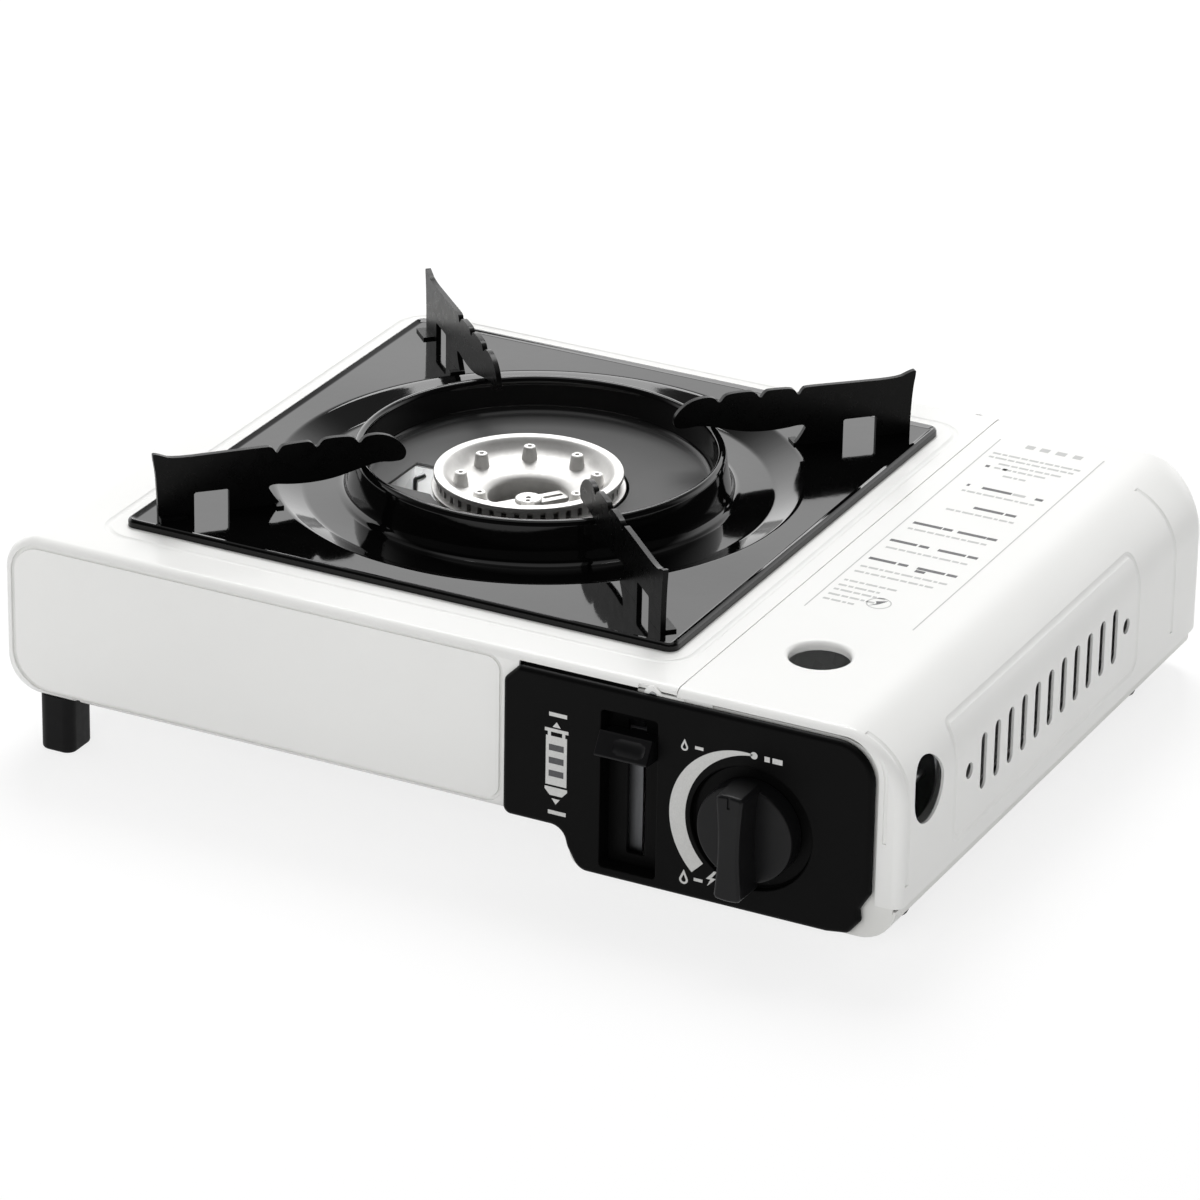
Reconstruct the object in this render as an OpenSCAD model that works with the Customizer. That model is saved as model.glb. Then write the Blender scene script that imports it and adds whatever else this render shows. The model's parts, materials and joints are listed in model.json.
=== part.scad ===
// Portable butane stove: a low stamped housing with the burner and its drip tray on the left, and the
// cartridge bay under a hinged lid on the right. +X points to the cartridge side, +Y away from the
// control panel, +Z up. The origin is at the middle of the footprint, on the table.

/* [Housing] */
// Width of the housing
body_w = 358; // [348:1:370]
// Depth of the housing, without the knob
body_d = 274; // [268:1:284]
// Height of the deck above the table
deck_h = 84; // [82:1:90]
// Thickness of the stamped sheet
sheet = 1; // [0.8:0.1:1.2]
// Radius of the housing's left edges
side_r = 14; // [11:0.5:16]
// Radius where the deck turns into the front and back walls
edge_r = 4; // [3:0.5:5]
// Height of the left underside above the table
belly_h = 22; // [20:1:24]
// Height of the cartridge bay's underside above the table
bay_h = 6.5; // [5:0.5:8]
// Depth of the embossed grooves
groove_d = 0.4; // [0.2:0.1:0.6]

/* [Cartridge lid] */
// Width of the lid, from the seam to the right face
lid_w = 87; // [85:0.5:92]
// Radius of the lid's long right edge
lid_r = 26; // [20:1:30]
// Height of the lid's lower edge above the table
lid_skirt_h = 20.5; // [18:0.5:23]
// Width of the lid's band beside the control panel
lid_band = 10; // [8:0.5:11]
// Height of the lid's band above the control panel
lid_brow = 3.2; // [2.8:0.2:3.6]
// Radius of the two round holes in the lid
lid_hole_r = 11; // [9:0.5:12]
// Number of vent slots in the lid's side
lid_slots = 11; // [7:1:12]
// Distance between the vent slots
lid_slot_pitch = 11.6; // [9:0.2:12]
// Width of a vent slot
lid_slot_w = 5; // [3:0.5:6]

/* [Tray and supports] */
// Side of the square drip tray
tray_w = 222; // [216:1:224]
// Deck between the left face and the tray
deck_margin = 35.5; // [34:0.5:38]
// Thickness of the tray's sheet
tray_sheet = 1; // [0.8:0.1:1.2]
// Radius of the raised collar, to the middle of its bead
collar_r = 66.7; // [64.5:0.2:68]
// Height of the collar above the deck
collar_h = 13.2; // [11:0.2:13.4]
// Outer radius of the annular trough
trough_r = 96; // [94:0.5:98]
// Height of the pan supports above the deck
support_h = 25.3; // [23:0.5:28]
// Thickness of the support plates
support_t = 2; // [1.6:0.1:2.4]
// Reach of the supports from the burner's middle
support_reach = 144.5; // [142:0.5:146]

/* [Burner] */
// Outer radius of the burner's rim
burner_r = 35; // [33:0.5:36]
// Height of the burner's rim above the deck
burner_h = 4.9; // [3.5:0.2:6]
// Number of flame ports
port_count = 44; // [36:1:48]
// Number of nipples in the dish
nipple_count = 8; // [6:1:8]

/* [Cartridge] */
// Radius of the gas cartridge that the bay takes
cartridge_r = 34; // [33:0.25:34.5]
// Radius of the regulator's socket for the cartridge valve
socket_r = 7.6; // [7:0.1:8]
// Depth of that socket
socket_depth = 7; // [6:0.5:8]
// Travel of the clamp fork that pulls the cartridge home
clamp_travel = 6.6; // [5:0.2:7]

/* [Controls] */
// How far the knob stands proud of the housing
knob_proud = 20.5; // [19:0.5:23]
// Radius of the knob's disc
knob_r = 18.3; // [17:0.1:19]
// Length of the knob's grip bar
grip_len = 41; // [38:1:42]
// Width of the knob's grip bar
grip_w = 11; // [9:0.5:12]
// Radius of the valve spindle
spindle_r = 3; // [2.5:0.1:3.2]
// Travel of the cartridge lever
lever_travel = 33; // [28:1:33]
// How far the control panel stands proud of the housing
panel_proud = 2.5; // [2:0.1:3]

/* [Feet] */
// Width of a tall left foot
foot_w = 14; // [12:0.5:16]
// Depth of a tall left foot
foot_d = 16; // [14:0.5:18]
// Radius of a low right foot
pad_r = 7; // [6:0.5:8]

/* [Hidden] */

// Clearances
run = 0.05;                         // radial, a shaft or pin that turns or slides in its bore
loose = 0.3;                        // between pieces that move past each other
hole = 0.1;                         // radial, a screw's shank in its hole
eps = 0.01;

// Places of the main faces
left_x = -body_w / 2;
right_x = body_w / 2;
front_y = -(body_d - knob_proud) / 2;
back_y = front_y + body_d;
mid_y = (front_y + back_y) / 2;
seam_x = right_x - lid_w;
wall_in = sheet + loose;            // from the housing's face to the base pan's end walls
floor_z = bay_h + sheet;            // floor of the cartridge bay
flange_w = 14;                      // width of the shell's inturned bottom flange
pan_z = belly_h + sheet;            // underside of the base pan's left part, on the shell's flange
belly_z = pan_z + sheet;            // its upper face
deck_in = deck_h - sheet;           // underside of the deck

// Base pan
step_x = seam_x - 40.5;             // where the floor steps down to the cartridge bay
step_r = 6;                         // radius of both bends of the step
bay_r = 14;                         // radius of the bay's lower right edge
bay_x = right_x - sheet - 1;        // right face of the bay's low wall
bay_wall_h = 32;                    // height of that wall's upper edge
wall_x = step_x + step_r + 2;       // left edge of the bay's end walls
wall_drop = 3.3;                    // from the deck down to the end walls' upper edge
corner_r = 13.5;                    // plan radius of the bay's rear right corner
corner_x = bay_x - corner_r;
corner_y = back_y - wall_in - corner_r;

// Lid and hinge
seam_gap = 0.7;
lid_x = seam_x + seam_gap;
lid_corner_r = 15;                  // plan radius of the lid's rear right corner
lid_rear_r = 5;                     // radius of its rear top edge
hinge_x = seam_x - 8.5;
hinge_z = deck_h - 4;
ear_r = 3.5;
pin_r = 1.5;
lid_brow_r = 14;
vent_hole_r = 3;                    // radius of the small holes beside the slots

// Tray and burner
tray_x = left_x + deck_margin + tray_w / 2;
burner_x = tray_x - 2;
burner_y = mid_y - 4.8;
tray_top = deck_h + 2.2;            // upper face of the tray's flat
well_z = deck_h - 1.5;              // upper face of the sunk floor
trough_z = deck_h - 3;              // upper face of the trough
trough_in_r = 86;                   // where the trough's outer slope meets its floor
rim_z = deck_h + burner_h;          // top of the burner's rim
flange_z = rim_z - 6.8;             // underside of the burner's flange
tube_z = deck_h - 26;               // axis of the mixing tube
tube_r = 11;
bowl_z = deck_h - 38;               // underside of the mixing bowl
bowl_r = burner_r - 3.6;
sleeve_r = 17.1;                    // bore of the bowl's inner sleeve
tube_end_x = seam_x - 32;           // mouth of the mixing tube
jet_x = tube_end_x + 16;            // back of the jet
notch_x = burner_x - 46;            // left end of the notch beside the burner hole
notch_y0 = burner_y - 24.2;
notch_y1 = burner_y - 1.2;

// Cartridge bay
partition_x = seam_x - 1.5;
cart_x = right_x - 45;
cart_z = floor_z + sheet + cartridge_r + 0.5;
regulator_r = 22;
flange_y = front_y + 38;            // front face of the regulator's flange
flange_t = 4;
nose_y = flange_y + flange_t + 12;  // mouth of the cartridge socket
nose_r = 12;
fork_y = flange_y + 22;             // front face of the clamp fork at rest
fork_t = 2;
rod_dx = 24;
rod_r = 2;
cradle_y0 = front_y + 75;
cradle_y1 = back_y - 34;

// Controls
dial_x = seam_x + 31;
dial_z = cart_z - 3.5;
dial_r = 23;                        // recess round the knob
housing_r = 9;                      // valve housing
lever_x = seam_x - 16.2;            // middle of the lever channel
channel_w = 21.6;
channel_top = deck_h - 12.6;
channel_bottom = floor_z + 3.5;
channel_depth = 7;
panel_y = front_y - panel_proud;    // front face of the panel
panel_back = front_y - loose;
channel_floor = panel_y + channel_depth;
slot_x0 = lever_x - 5.1;            // sides of the slot in the channel's floor
slot_x1 = lever_x + 3.4;
slot_room = 0.8;                    // from the slot's sides to the handle's neck
guide_x = lever_x - 2.3;
guide_w = 6;
guide_t = 1.5;
guide_y = front_y + 8;              // front face of the guide strip
handle_z = deck_h - 21;             // height of the handle's upper rear edge at rest
handle_h = 7;                       // from there to its underside
handle_proud = 6.8;                 // from the panel's face to the front of the ledge
carriage_y = front_y + 6.5;         // front face of the carriage
carriage_x0 = lever_x - 8.3;
carriage_x1 = lever_x + 9.7;
cam_t = 1.5;
cam_pin_y = front_y + 28;
cam_pin_z = (floor_z + deck_in) / 2;
cam_pin_r = 1.8;
fork_bar_x = partition_x + sheet + 1;
gas_y = front_y + 46;               // where the gas pipe passes the partition
gas_z = cart_z - 7;
lead_y = front_y + 35.6;            // where the ignition lead passes the partition
igniter_x = dial_x - 17.5;
igniter_z = dial_z - 15.5;
igniter_r = 6.5;

// Places of the screws and feet
pad_peg_r = 2.5;
left_foot_x = left_x + 19.4;
right_foot_x = bay_x - bay_r - 4;
left_foot_places = [[left_foot_x, front_y + 9.75], [left_foot_x, back_y - 9.75]];
right_foot_places = [[right_foot_x, front_y + 36], [right_foot_x, back_y - 36]];
base_screw_places = [for (x = [left_x + 80, left_x + 180]) each [[x, front_y + 9], [x, back_y - 9]]];
bracket_screw_places = [for (x = [burner_x - 20, burner_x + 15]) each [[x, burner_y - 21.5],
    [x, burner_y + 21.5]]];
regulator_screw_places = [[cart_x - 20, flange_y + 10], [cart_x + 20, flange_y + 10]];
shell_screw_place = [seam_x - 62.5, belly_h + 12];
panel_screw_places = [[seam_x + 4, deck_h - 12.5], [seam_x + 4, floor_z + 5], [seam_x + 60, deck_h - 14],
                      [seam_x + 63, floor_z + 12.5]];

// Points of an arc, in degrees, with its ends
function arc(cx, cy, r, a0, a1, n = 8) =
    [for (i = [0:n]) let (a = a0 + (a1 - a0) * i / n) [cx + r * cos(a), cy + r * sin(a)]];
function reversed(p) = [for (i = [len(p) - 1:-1:0]) p[i]];

// Points of a rectangle with rounded corners
function round_rect(x0, y0, x1, y1, r, n = 6) = concat(
    arc(x1 - r, y0 + r, r, -90, 0, n), arc(x1 - r, y1 - r, r, 0, 90, n),
    arc(x0 + r, y1 - r, r, 90, 180, n), arc(x0 + r, y0 + r, r, 180, 270, n));

// Points of a path through corner points, each corner rounded by a curve of reach r
function unit(v) = v / norm(v);
function blend(a, b, c, r, n) = let (u = unit(a - b), v = unit(c - b))
    [for (i = [0:n]) let (t = i / n, w = 1 - t) (b + u * r) * w * w + b * 2 * t * w + (b + v * r) * t * t];
function soft_path(p, r, n = 5) = concat([p[0]],
    [for (i = [1:len(p) - 2]) each blend(p[i - 1], p[i], p[i + 1], r, n)], [p[len(p) - 1]]);

// A solid with an XZ outline, from y0 to y1
module slab_xz(points, y0, y1) {
    translate([0, y1, 0]) rotate([90, 0, 0]) linear_extrude(y1 - y0) polygon(points);
}

// A solid with a YZ outline, from x0 to x1
module slab_yz(points, x0, x1) {
    translate([x0, 0, 0]) rotate([90, 0, 90]) linear_extrude(x1 - x0) polygon(points);
}

// A solid with a plan outline, from z0 to z1
module slab_xy(points, z0, z1) {
    translate([0, 0, z0]) linear_extrude(z1 - z0) polygon(points);
}

// Cylinders along the three axes
module rod_x(y, z, r, x0, x1, fn = 48) {
    translate([x0, y, z]) rotate([0, 90, 0]) cylinder(h = x1 - x0, r = r, $fn = fn);
}

module rod_y(x, z, r, y0, y1, fn = 48) {
    translate([x, y1, z]) rotate([90, 0, 0]) cylinder(h = y1 - y0, r = r, $fn = fn);
}

module rod_z(x, y, r, z0, z1, fn = 48) {
    translate([x, y, z0]) cylinder(h = z1 - z0, r = r, $fn = fn);
}

// A box given by its low and high corners
module block(lo, hi) {
    translate(lo) cube(hi - lo);
}

// A round tube or wire swept along points
function tangent(p, i) = unit(p[min(i + 1, len(p) - 1)] - p[max(i - 1, 0)]);
function first_normal(t) = unit(cross(t, abs(t[2]) < 0.9 ? [0, 0, 1] : [1, 0, 0]));
function normals(p, i = 0, prev = undef, out = []) = i == len(p) ? out :
    let (t = tangent(p, i), n = prev == undef ? first_normal(t) : unit(prev - t * (prev * t)))
    normals(p, i + 1, n, concat(out, [n]));

module swept(p, r, sides = 8) {
    ns = normals(p);
    loft([for (i = [0:len(p) - 1]) let (t = tangent(p, i), n = ns[i], b = cross(t, n))
        [for (k = [0:sides - 1]) let (a = 360 * k / sides) p[i] + r * (n * cos(a) + b * sin(a))]]);
}

// A solid through rings of points, each ring turning left about the way from the first to the last
module loft(rings) {
    n = len(rings[0]);
    last = (len(rings) - 1) * n;
    faces = concat([[for (k = [0:n - 1]) k]], [[for (k = [n - 1:-1:0]) last + k]],
        [for (i = [0:len(rings) - 2]) for (k = [0:n - 1]) let (a = i * n + k, b = i * n + (k + 1) % n)
            each [[a, a + n, b + n], [a, b + n, b]]]);
    polyhedron(points = [for (r = rings) each r], faces = faces);
}
function ring_xz(p, y) = [for (q = p) [q[0], y, q[1]]];

// A pan-head screw along Z with its head's underside at z, pointing down (way = -1) or up (way = 1)
module screw_z(x, y, z, length, way, head_r = 2.8) {
    z_tip = z + way * length;
    z_head = z - way * 1.6;
    rod_z(x, y, head_r, min(z, z_head), max(z, z_head), 24);
    rod_z(x, y, 1.5, min(z, z_tip), max(z, z_tip), 24);
}

// ---- Housing ----

// Outline of the housing's left part, seen from the front, shrunk by inset
function house_outline(inset, x_end) = concat(
    [[x_end, deck_h - inset]],
    arc(left_x + side_r, deck_h - side_r, side_r - inset, 90, 180),
    arc(left_x + side_r, belly_h + side_r, side_r - inset, 180, 270),
    [[x_end, belly_h + inset]]);

// The housing's left part as a solid whose front and back edges are rounded
function step_in(r, a) = r * (1 - sin(a));
function step_back(r, a) = r * (1 - cos(a));

module house_solid(inset, x_end) {
    r = edge_r - inset;
    loft(concat(
        [for (a = [0:30:90]) ring_xz(house_outline(inset + step_in(r, a), x_end),
            back_y - inset - step_back(r, a))],
        [for (a = [90:-30:0]) ring_xz(house_outline(inset + step_in(r, a), x_end),
            front_y + inset + step_back(r, a))]));
}

// A shallow groove that follows a closed outline on the front wall
module front_groove() {
    x0 = left_x + 4;
    x1 = seam_x - 68;
    difference() {
        slab_xz(round_rect(x0, belly_h + 3, x1, deck_h - 4, 9), front_y - 1, front_y + groove_d);
        slab_xz(round_rect(x0 + 1.2, belly_h + 4.2, x1 - 1.2, deck_h - 5.2, 7.8), front_y - 2, front_y + 1);
    }
}

// A shallow groove round the tray
module deck_groove() {
    g = tray_w / 2 + 8;
    difference() {
        slab_xy(round_rect(tray_x - g, mid_y - g, tray_x + g, mid_y + g, 12), deck_h - groove_d,
            deck_h + 1);
        slab_xy(round_rect(tray_x - g + 1.4, mid_y - g + 1.4, tray_x + g - 1.4, mid_y + g - 1.4, 10.6),
                deck_h - 1, deck_h + 2);
    }
}

// Deck, left wall, front and back walls
module top_shell() color("white") difference() {
    house_solid(0, seam_x);
    house_solid(sheet, seam_x + 1);
    // The tray's trough hangs through this hole
    rod_z(tray_x, mid_y, trough_r + 4, deck_h - 10, deck_h + 1, 96);
    // Underside, open inside a flange that ends before the step
    block([left_x + side_r + 10, front_y + flange_w, belly_h - 1],
          [seam_x + 1, back_y - flange_w, belly_h + sheet + 1]);
    block([step_x - step_r - 0.5, front_y - 1, belly_h - 1],
        [seam_x + 1, back_y + 1, belly_h + edge_r + 1]);
    // Window behind the control panel
    block([seam_x - 56, front_y - 1, belly_h - 1], [seam_x + 1, front_y + 3, deck_h - 10.9]);
    // Notches for the lid's ears
    block([hinge_x - 6, front_y - 1, deck_h - 11.5], [seam_x + 1, front_y + wall_in, deck_h + 1]);
    block([hinge_x - 6, back_y - wall_in, deck_h - 11.5], [seam_x + 1, back_y + 1, deck_h + 1]);
    front_groove();
    deck_groove();
    // Screw holes
    rod_y(shell_screw_place[0], shell_screw_place[1], 1.5 + hole, front_y - 1, front_y + 3, 24);
    for (p = concat(left_foot_places, base_screw_places))
        rod_z(p[0], p[1], 1.5 + hole, belly_h - 1, pan_z + 1, 24);
}

// Section of the base pan's sheet: t = 0 is its lower face and t = sheet its upper one
function pan_path(t) = concat(
    [[left_x + side_r, pan_z + t]],
    arc(step_x - step_r, pan_z - step_r, step_r + t, 90, 0),
    arc(step_x + step_r, bay_h + step_r, step_r - t, 180, 270),
    arc(bay_x - bay_r, bay_h + bay_r, bay_r - t, 270, 360),
    [[bay_x - t, bay_wall_h]]);

// End wall of the cartridge bay. It stays tx and tz inside the lid's right face and top, whose edges
// are rounded, and under the shell's rounded edge.
function end_wall(tx, tz) = concat(
    [[wall_x, deck_h - wall_drop], [wall_x, floor_z - eps]],
    arc(bay_x - bay_r, bay_h + bay_r, bay_r - sheet + eps, 270, 345),
    [[right_x - tx, lid_skirt_h - 1.5]],
    [for (i = [0:8]) let (a = 90 * i / 8)
        [right_x - lid_r + (lid_r - tx) * cos(a), deck_h - lid_r + (lid_r - tz) * sin(a)]],
    [[seam_x, deck_h - tz], [seam_x, deck_h - wall_drop]]);

// Outline of the bay's sheet seen from the front, filled
function bay_outline() = concat(
    arc(bay_x - bay_r, bay_h + bay_r, bay_r, 270, 360), [[bay_x, bay_wall_h], [wall_x, bay_wall_h],
        [wall_x, bay_h]]);

module base_pan() color("whitesmoke") difference() {
    union() {
        difference() {
            union() {
                slab_xz(concat(pan_path(0), reversed(pan_path(sheet))), front_y + wall_in,
                    back_y - wall_in);
                slab_xz(end_wall(wall_drop, wall_drop), front_y + wall_in, front_y + wall_in + sheet);
                slab_xz(end_wall(lid_corner_r - 1.8, lid_rear_r - 0.7), back_y - wall_in - sheet,
                    back_y - wall_in);
            }
            // Rear right corner, rounded in plan
            difference() {
                block([corner_x, corner_y, bay_h - 1], [right_x, back_y, deck_h]);
                rod_z(corner_x, corner_y, corner_r, bay_h - 2, deck_h + 1, 96);
            }
            // The bay's wall stays inside the lid's rounded front edge
            block([bay_x - sheet - 0.2, front_y, lid_skirt_h - 1.5],
                [right_x, front_y + edge_r + loose, deck_h]);
            // The left part stays inside the shell's rounded edges
            block([left_x, front_y, pan_z - 0.5], [step_x - step_r, front_y + edge_r + 1.2, belly_z + 1]);
            block([left_x, back_y - edge_r - 1.2, pan_z - 0.5], [step_x - step_r, back_y, belly_z + 1]);
        }
        intersection() {
            difference() {
                rod_z(corner_x, corner_y, corner_r, bay_h, bay_wall_h, 96);
                rod_z(corner_x, corner_y, corner_r - sheet, bay_h - 1, bay_wall_h + 1, 96);
                block([corner_x - 30, corner_y - 30, 0], [corner_x, corner_y + 30, deck_h]);
                block([corner_x - 30, corner_y - 30, 0], [corner_x + 30, corner_y, deck_h]);
            }
            slab_xz(bay_outline(), front_y, back_y);
        }
    }
    // Room for the dial recess and the lever channel
    rod_y(dial_x, dial_z, dial_r + 2.5, front_y, front_y + 4, 96);
    block([lever_x - channel_w / 2 - 2, front_y, channel_bottom - 2],
          [lever_x + channel_w / 2 + 2, front_y + 4, channel_top + 1.7]);
    // Hinge pins
    rod_y(hinge_x, hinge_z, pin_r, front_y, front_y + 4, 32);
    rod_y(hinge_x, hinge_z, pin_r, back_y - 4, back_y, 32);
    // Screws and pegs
    for (p = panel_screw_places) rod_y(p[0], p[1], 1.5 + hole, front_y, front_y + 4, 24);
    for (p = concat(left_foot_places, base_screw_places, bracket_screw_places))
        rod_z(p[0], p[1], 1.5 + hole, pan_z - 1, belly_z + 1, 24);
    for (p = regulator_screw_places) rod_z(p[0], p[1], 1.5 + hole, bay_h - 1, floor_z + 1, 24);
    for (p = right_foot_places) rod_z(p[0], p[1], pad_peg_r, bay_h - 1, floor_z + 1, 32);
    // Cooling slots under the burner
    for (i = [0:6]) {
        x = tray_x - 63 + 18 * i;
        block([x, mid_y - 64, pan_z - 1], [x + 4, mid_y - 34, belly_z + 1]);
        block([x, mid_y + 38, pan_z - 1], [x + 4, mid_y + 68, belly_z + 1]);
    }
}

// Sheet wall between the burner bay and the cartridge bay
module partition() color("gainsboro") difference() {
    block([partition_x, front_y + wall_in + sheet, floor_z],
        [partition_x + sheet, back_y - wall_in - sheet, deck_in]);
    // Slot for the clamp fork's pin
    block([partition_x - 1, cam_pin_y - clamp_travel - cam_pin_r - 0.6, cam_pin_z - cam_pin_r - 0.6],
          [partition_x + sheet + 1, cam_pin_y + cam_pin_r + 0.6, cam_pin_z + cam_pin_r + 0.6]);
    // Gas pipe and ignition lead
    rod_x(gas_y, gas_z, 2.9, partition_x - 1, partition_x + sheet + 1, 32);
    rod_x(lead_y, igniter_z, 1.8, partition_x - 1, partition_x + sheet + 1, 24);
    // Vents
    for (i = [0:4]) block([partition_x - 1, mid_y + 10 + 22 * i, deck_h - 28],
                          [partition_x + sheet + 1, mid_y + 24 + 22 * i, deck_h - 24]);
}

// ---- Lid ----

// Outline of the lid seen from the front, with its own insets from the right face and the top
function lid_outline(tx, tz, x0, z0) = concat(
    [[x0, deck_h - tz], [x0, z0], [right_x - tx, z0]],
    [for (i = [0:8]) let (a = 90 * i / 8)
        [right_x - lid_r + (lid_r - tx) * cos(a), deck_h - lid_r + (lid_r - tz) * sin(a)]]);

module lid_solid(inset, x0, z0) {
    r = edge_r - inset;
    rc = lid_corner_r - inset;
    rt = lid_rear_r - inset;
    loft(concat(
        [for (a = [0:15:90]) let (back = step_back(rc, a),
            top = back < rt ? rt - sqrt(rt * rt - (rt - back) * (rt - back)) : 0)
            ring_xz(lid_outline(inset + step_in(rc, a), inset + top, x0, z0), back_y - inset - back)],
        [for (a = [90:-30:0]) let (in = inset + step_in(r, a))
            ring_xz(lid_outline(in, in, x0, z0), front_y + inset + step_back(r, a))]));
}

// Opening in the lid's front wall, round the control panel
function lid_opening() = concat(
    [[seam_x - 1, lid_skirt_h - 1], [right_x - lid_band, lid_skirt_h - 1]],
    arc(right_x - lid_band - lid_brow_r, deck_h - lid_brow - lid_brow_r, lid_brow_r, 0, 90),
    [[seam_x + 14, deck_h - lid_brow], [seam_x + 14, hinge_z - ear_r], [seam_x - 1, hinge_z - ear_r]]);

// An ear of the lid, in the plane of its front or rear wall
module lid_ear(y) {
    difference() {
        union() {
            rod_y(hinge_x, hinge_z, ear_r, y, y + sheet, 32);
            block([hinge_x, y, hinge_z - ear_r], [lid_x + 3, y + sheet, hinge_z + 1]);
        }
        rod_y(hinge_x, hinge_z, pin_r + run, y - 1, y + sheet + 1, 32);
    }
}

module cartridge_lid() color("snow") {
    difference() {
        lid_solid(0, lid_x, lid_skirt_h);
        lid_solid(sheet, lid_x - 1, lid_skirt_h - 2);
        slab_xz(lid_opening(), front_y - 1, front_y + sheet + 0.4);
        // Round hole in the top and finger hole in the side
        rod_z(seam_x + 31, mid_y - 87, lid_hole_r, deck_h - 4, deck_h + 1, 64);
        rod_x(mid_y - 116, deck_h - 26, lid_hole_r + 1, right_x - 4, right_x + 1, 64);
        // Vent slots
        for (i = [0:lid_slots - 1]) {
            y = mid_y - 12 + (i - (lid_slots - 1) / 2) * lid_slot_pitch;
            block([right_x - 3, y - lid_slot_w / 2, deck_h - 43],
                [right_x + 1, y + lid_slot_w / 2, deck_h - 26.5]);
            rod_x(y, deck_h - 43, lid_slot_w / 2, right_x - 3, right_x + 1, 24);
            rod_x(y, deck_h - 26.5, lid_slot_w / 2, right_x - 3, right_x + 1, 24);
        }
        // Two small holes beside the slots
        rod_x(mid_y - 82, deck_h - 33.5, vent_hole_r, right_x - 3, right_x + 1, 24);
        rod_x(mid_y + 57, deck_h - 35, vent_hole_r, right_x - 3, right_x + 1, 24);
    }
    lid_ear(front_y);
    lid_ear(back_y - sheet);
}

module front_hinge_pin() color("silver") {
    rod_y(hinge_x, hinge_z, pin_r, front_y - 0.2, front_y + 4, 32);
    rod_y(hinge_x, hinge_z, pin_r + 1, front_y + wall_in + sheet, front_y + 4, 32);
}

module rear_hinge_pin() color("silver") {
    rod_y(hinge_x, hinge_z, pin_r, back_y - 4, back_y, 32);
    rod_y(hinge_x, hinge_z, pin_r + 1, back_y - 4, back_y - wall_in - sheet, 32);
}

// ---- Tray and pan supports ----

// Section of the tray's collar, trough and sunk floor, as radius and height
function tray_section(s) = let (c = collar_r, top = deck_h + collar_h, flat = tray_top) [
    [trough_r + 2, flat], [trough_r, flat - 0.3], [trough_in_r + 1, trough_z + 0.3],
        [trough_in_r - 0.5, trough_z],
    [c + 8.3, trough_z], [c + 6.5, trough_z + 0.8], [c + 4.9, deck_h], [c + 3.3, deck_h + 3.2],
    [c + 1.9, top - 2.2], [c + 1.2, top - 0.5], [c, top], [c - 1.2, top - 0.5], [c - 1.7, top - 1.7],
    [c - 1.7, well_z + 1.5], [c - 2.1, well_z + 0.7], [c - 3.2, well_z], [burner_r - 5, well_z],
    [burner_r - 5, well_z - s], [c - 3, well_z - s], [c - 1.2, well_z - 0.2], [c - 0.7, well_z + 1.2],
    [c - 0.7, top - 1.9], [c, top - 1.1], [c + 0.9, top - 2.6], [c + 2.3, deck_h + 2.9],
    [c + 4, deck_h - 0.6], [c + 5.8, trough_z - 0.2], [c + 8, trough_z - s], [trough_in_r, trough_z - s],
    [trough_in_r + 1.7, trough_z - 0.5], [trough_r + 0.4, flat - s - 0.2], [trough_r + 2, flat - s]];

module tray_square(half, chamfer, z0, z1) {
    slab_xy([[half - chamfer, -half], [half, chamfer - half], [half, half - chamfer],
        [half - chamfer, half],
             [chamfer - half, half], [-half, half - chamfer], [-half, chamfer - half],
                 [chamfer - half, -half]], z0, z1);
}

module drip_tray() color("black") translate([tray_x, mid_y, 0]) {
    half = tray_w / 2;
    // Flat and lip
    difference() {
        tray_square(half, 3, deck_h, tray_top + 0.8);
        tray_square(half - tray_sheet, 3, deck_h - 1, tray_top - tray_sheet);
        tray_square(half - 2.2, 3, tray_top, tray_top + 2);
        rod_z(0, 0, trough_r + 2, deck_h - 5, deck_h + 5, 96);
    }
    // Collar, trough and floor with the burner hole
    difference() {
        rotate_extrude($fn = 96) polygon(tray_section(tray_sheet));
        rod_z(burner_x - tray_x, burner_y - mid_y, burner_r + 2, deck_h - 6, deck_h + 2, 96);
        block([notch_x - tray_x, notch_y0 - mid_y, deck_h - 6],
            [burner_x - tray_x - 20, notch_y1 - mid_y, deck_h + 2]);
    }
}

// Outline of a pan support: radius from the tray's middle, height above the deck
function support_outline() = let (h = support_h, o = support_reach, f = tray_top - deck_h, c = collar_r,
    k = collar_h) [
    [o, f], [o + 0.2, 10], [o + 0.8, h - 5], [o + 1.8, h + 1.2], [o + 1.1, h + 2.1], [o - 1, h + 1.3],
    [o - 5.5, h - 0.6], [o - 40, h], [c - 5, h + 0.3], [c - 10, h - 1.1], [c - 13.7, h - 4.3],
        [c - 15.7, h - 7.8],
    [c - 14.5, h - 10.2], [c - 10.5, h - 11.1], [c - 4.7, k + 1.3], [c + 2, k + 0.3], [c + 14, k - 3.6],
    [c + 25, k - 4], [c + 36, k - 3], [c + 34.8, 6], [c + 31.8, f]];

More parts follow.
